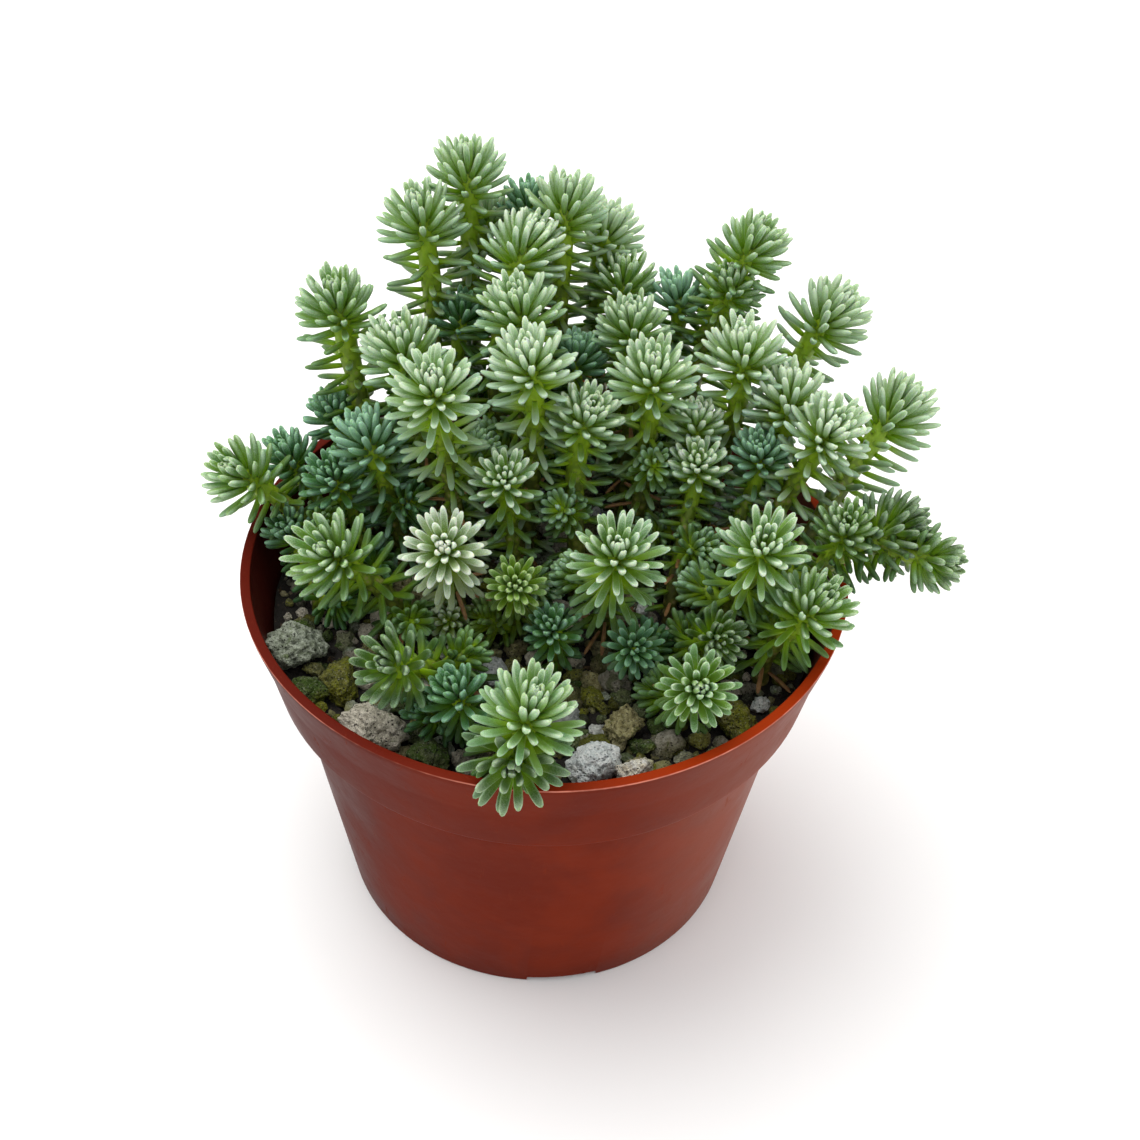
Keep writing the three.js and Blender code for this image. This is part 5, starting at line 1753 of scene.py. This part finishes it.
class STONECROP_OT_stems(bpy.types.Operator):
    """Add the forty-eight leafy stems with their heads of frosted leaves"""

    bl_idname = "stonecrop.add_stems"
    bl_label = "Add Leafy Stems"

    def execute(self, context):
        settings = context.scene.stonecrop_plant
        leaf = leaf_shape()
        shape = leafy_tree()
        flesh = stem_material()
        coats = {
            tone: leaf_material("leaf_" + tone + "_finish", look, settings.frost)
            for tone, look in LEAF_LOOKS.items()
        }
        shoots = place_leaves(settings)
        for plant in STEMS:
            own = [shoot for shoot in shoots if shoot["plant"] is plant]
            name = "leafy_stem_" + plant["name"]
            piece = shape.grow(name, skeleton(name, own, settings), {
                "Leaf Shape": leaf, "Stem Sides": 10, "Knobbles": settings.knobbles * 2,
                "Leaf Material": coats[plant["tone"]], "Stem Material": flesh,
            })
            finished(piece, ["stem_" + plant["name"]])
        bpy.data.objects.remove(leaf)
        return {"FINISHED"}


# Stage

def soft_light(name, place, size, power, colour):
    """A round area light that faces the top of the pot"""
    data = bpy.data.lights.new(name, "AREA")
    data.shape = "DISK"
    data.size = size
    data.energy = power
    data.color = colour
    made = added(name, data)
    made.location = place
    made.rotation_mode = "QUATERNION"
    aim = Vector((0, 0, 60 * MM))
    made.rotation_quaternion = (aim - Vector(place)).to_track_quat("-Z", "Y")


def photo_camera():
    """The camera that the rim, collar and foot of the pot in the photo were fitted to"""
    elevation, roll, away = math.radians(42.9), math.radians(1.4), 0.3
    aim = Vector((0, 0, POT_TOP * MM))
    back = Vector((0, -math.cos(elevation), math.sin(elevation)))
    level_up = Vector((0, math.sin(elevation), math.cos(elevation)))
    right = Vector((1, 0, 0)) * math.cos(roll) + level_up * math.sin(roll)
    up = back.cross(right)
    data = bpy.data.cameras.new("photo_camera")
    data.sensor_width = 36.0
    data.lens = PHOTO_FOCAL / PHOTO_SIDE * data.sensor_width
    data.shift_x = (PHOTO_SIDE / 2 - PHOTO_AIM[0]) / PHOTO_SIDE
    data.shift_y = (PHOTO_AIM[1] - PHOTO_SIDE / 2) / PHOTO_SIDE
    data.clip_start = 0.01
    data.clip_end = 20
    camera = added("photo_camera", data)
    camera.matrix_world = Matrix.Translation(aim + back * away) @ Matrix(
        (right, up, back)).transposed().to_4x4()
    bpy.context.scene.camera = camera


class STONECROP_OT_stage(bpy.types.Operator):
    """Add the pale floor, the soft lights and the camera"""

    bl_idname = "stonecrop.add_stage"
    bl_label = "Add Stage"

    def execute(self, context):
        settings = context.scene.stonecrop_stage
        material, wiring, shader, place = new_material("pale_floor")
        tint = wiring.mixed(
            speckle(wiring, place, 0.01, 2.0), tuple(settings.floor_colour), (0.9, 0.9, 0.9, 1.0))
        wiring.fill(shader, "Base Color", tint)
        evenly(shader, {"Roughness": 0.9})
        points, faces = turned([(0, 0), (settings.floor_radius / MM, 0)], 64)
        floor = added("floor", plain_mesh("floor", points, [face[::-1] for face in faces]))
        floor.data.materials.append(material)

        world = bpy.data.worlds.new("soft_studio")
        world.use_nodes = True
        sky = world.node_tree.nodes["Background"]
        sky.inputs["Color"].default_value = (1.0, 1.0, 1.0, 1.0)
        sky.inputs["Strength"].default_value = settings.sky_strength
        context.scene.world = world
        soft_light("key_light", (-0.3, 0.22, 1.05), 1.1, settings.key_power, (1.0, 0.99, 0.96))
        soft_light("fill_light", (0.5, -0.75, 0.45), 0.8, settings.fill_power, (0.97, 0.99, 1.0))
        context.scene.view_settings.view_transform = "Standard"
        photo_camera()
        return {"FINISHED"}


class STONECROP_PT_panel(bpy.types.Panel):
    bl_idname = "STONECROP_PT_panel"
    bl_label = "Potted Stonecrop"
    bl_space_type = "VIEW_3D"
    bl_region_type = "UI"
    bl_category = "Stonecrop"

    def draw(self, context):
        groups = (
            ("Pot", context.scene.stonecrop_pot, STONECROP_OT_pot),
            ("Potting Mix", context.scene.stonecrop_mix, STONECROP_OT_mix),
            ("Loose Stones", context.scene.stonecrop_stones, STONECROP_OT_stones),
            ("Leafy Stems", context.scene.stonecrop_plant, STONECROP_OT_stems),
            ("Stage", context.scene.stonecrop_stage, STONECROP_OT_stage),
        )
        for label, settings, operator in groups:
            box = self.layout.box()
            box.label(text=label)
            for name in settings.__annotations__:
                box.prop(settings, name)
            box.operator(operator.bl_idname)


CLASSES = (
    PotSettings, MixSettings, StoneSettings, PlantSettings, StageSettings,
    STONECROP_OT_pot, STONECROP_OT_mix, STONECROP_OT_stones, STONECROP_OT_stems,
    STONECROP_OT_stage, STONECROP_PT_panel,
)
SETTINGS = {
    "stonecrop_pot": PotSettings, "stonecrop_mix": MixSettings, "stonecrop_stones": StoneSettings,
    "stonecrop_plant": PlantSettings, "stonecrop_stage": StageSettings,
}


def register():
    for entry in CLASSES:
        bpy.utils.register_class(entry)
    for name, group in SETTINGS.items():
        setattr(bpy.types.Scene, name, bpy.props.PointerProperty(type=group))


def unregister():
    for name in SETTINGS:
        delattr(bpy.types.Scene, name)
    for entry in reversed(CLASSES):
        bpy.utils.unregister_class(entry)


def main():
    register()
    bpy.ops.stonecrop.add_pot()
    bpy.ops.stonecrop.add_mix()
    bpy.ops.stonecrop.add_stones()
    bpy.ops.stonecrop.add_stems()
    bpy.ops.stonecrop.add_stage()
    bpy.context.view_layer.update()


if __name__ == "__main__":
    main()
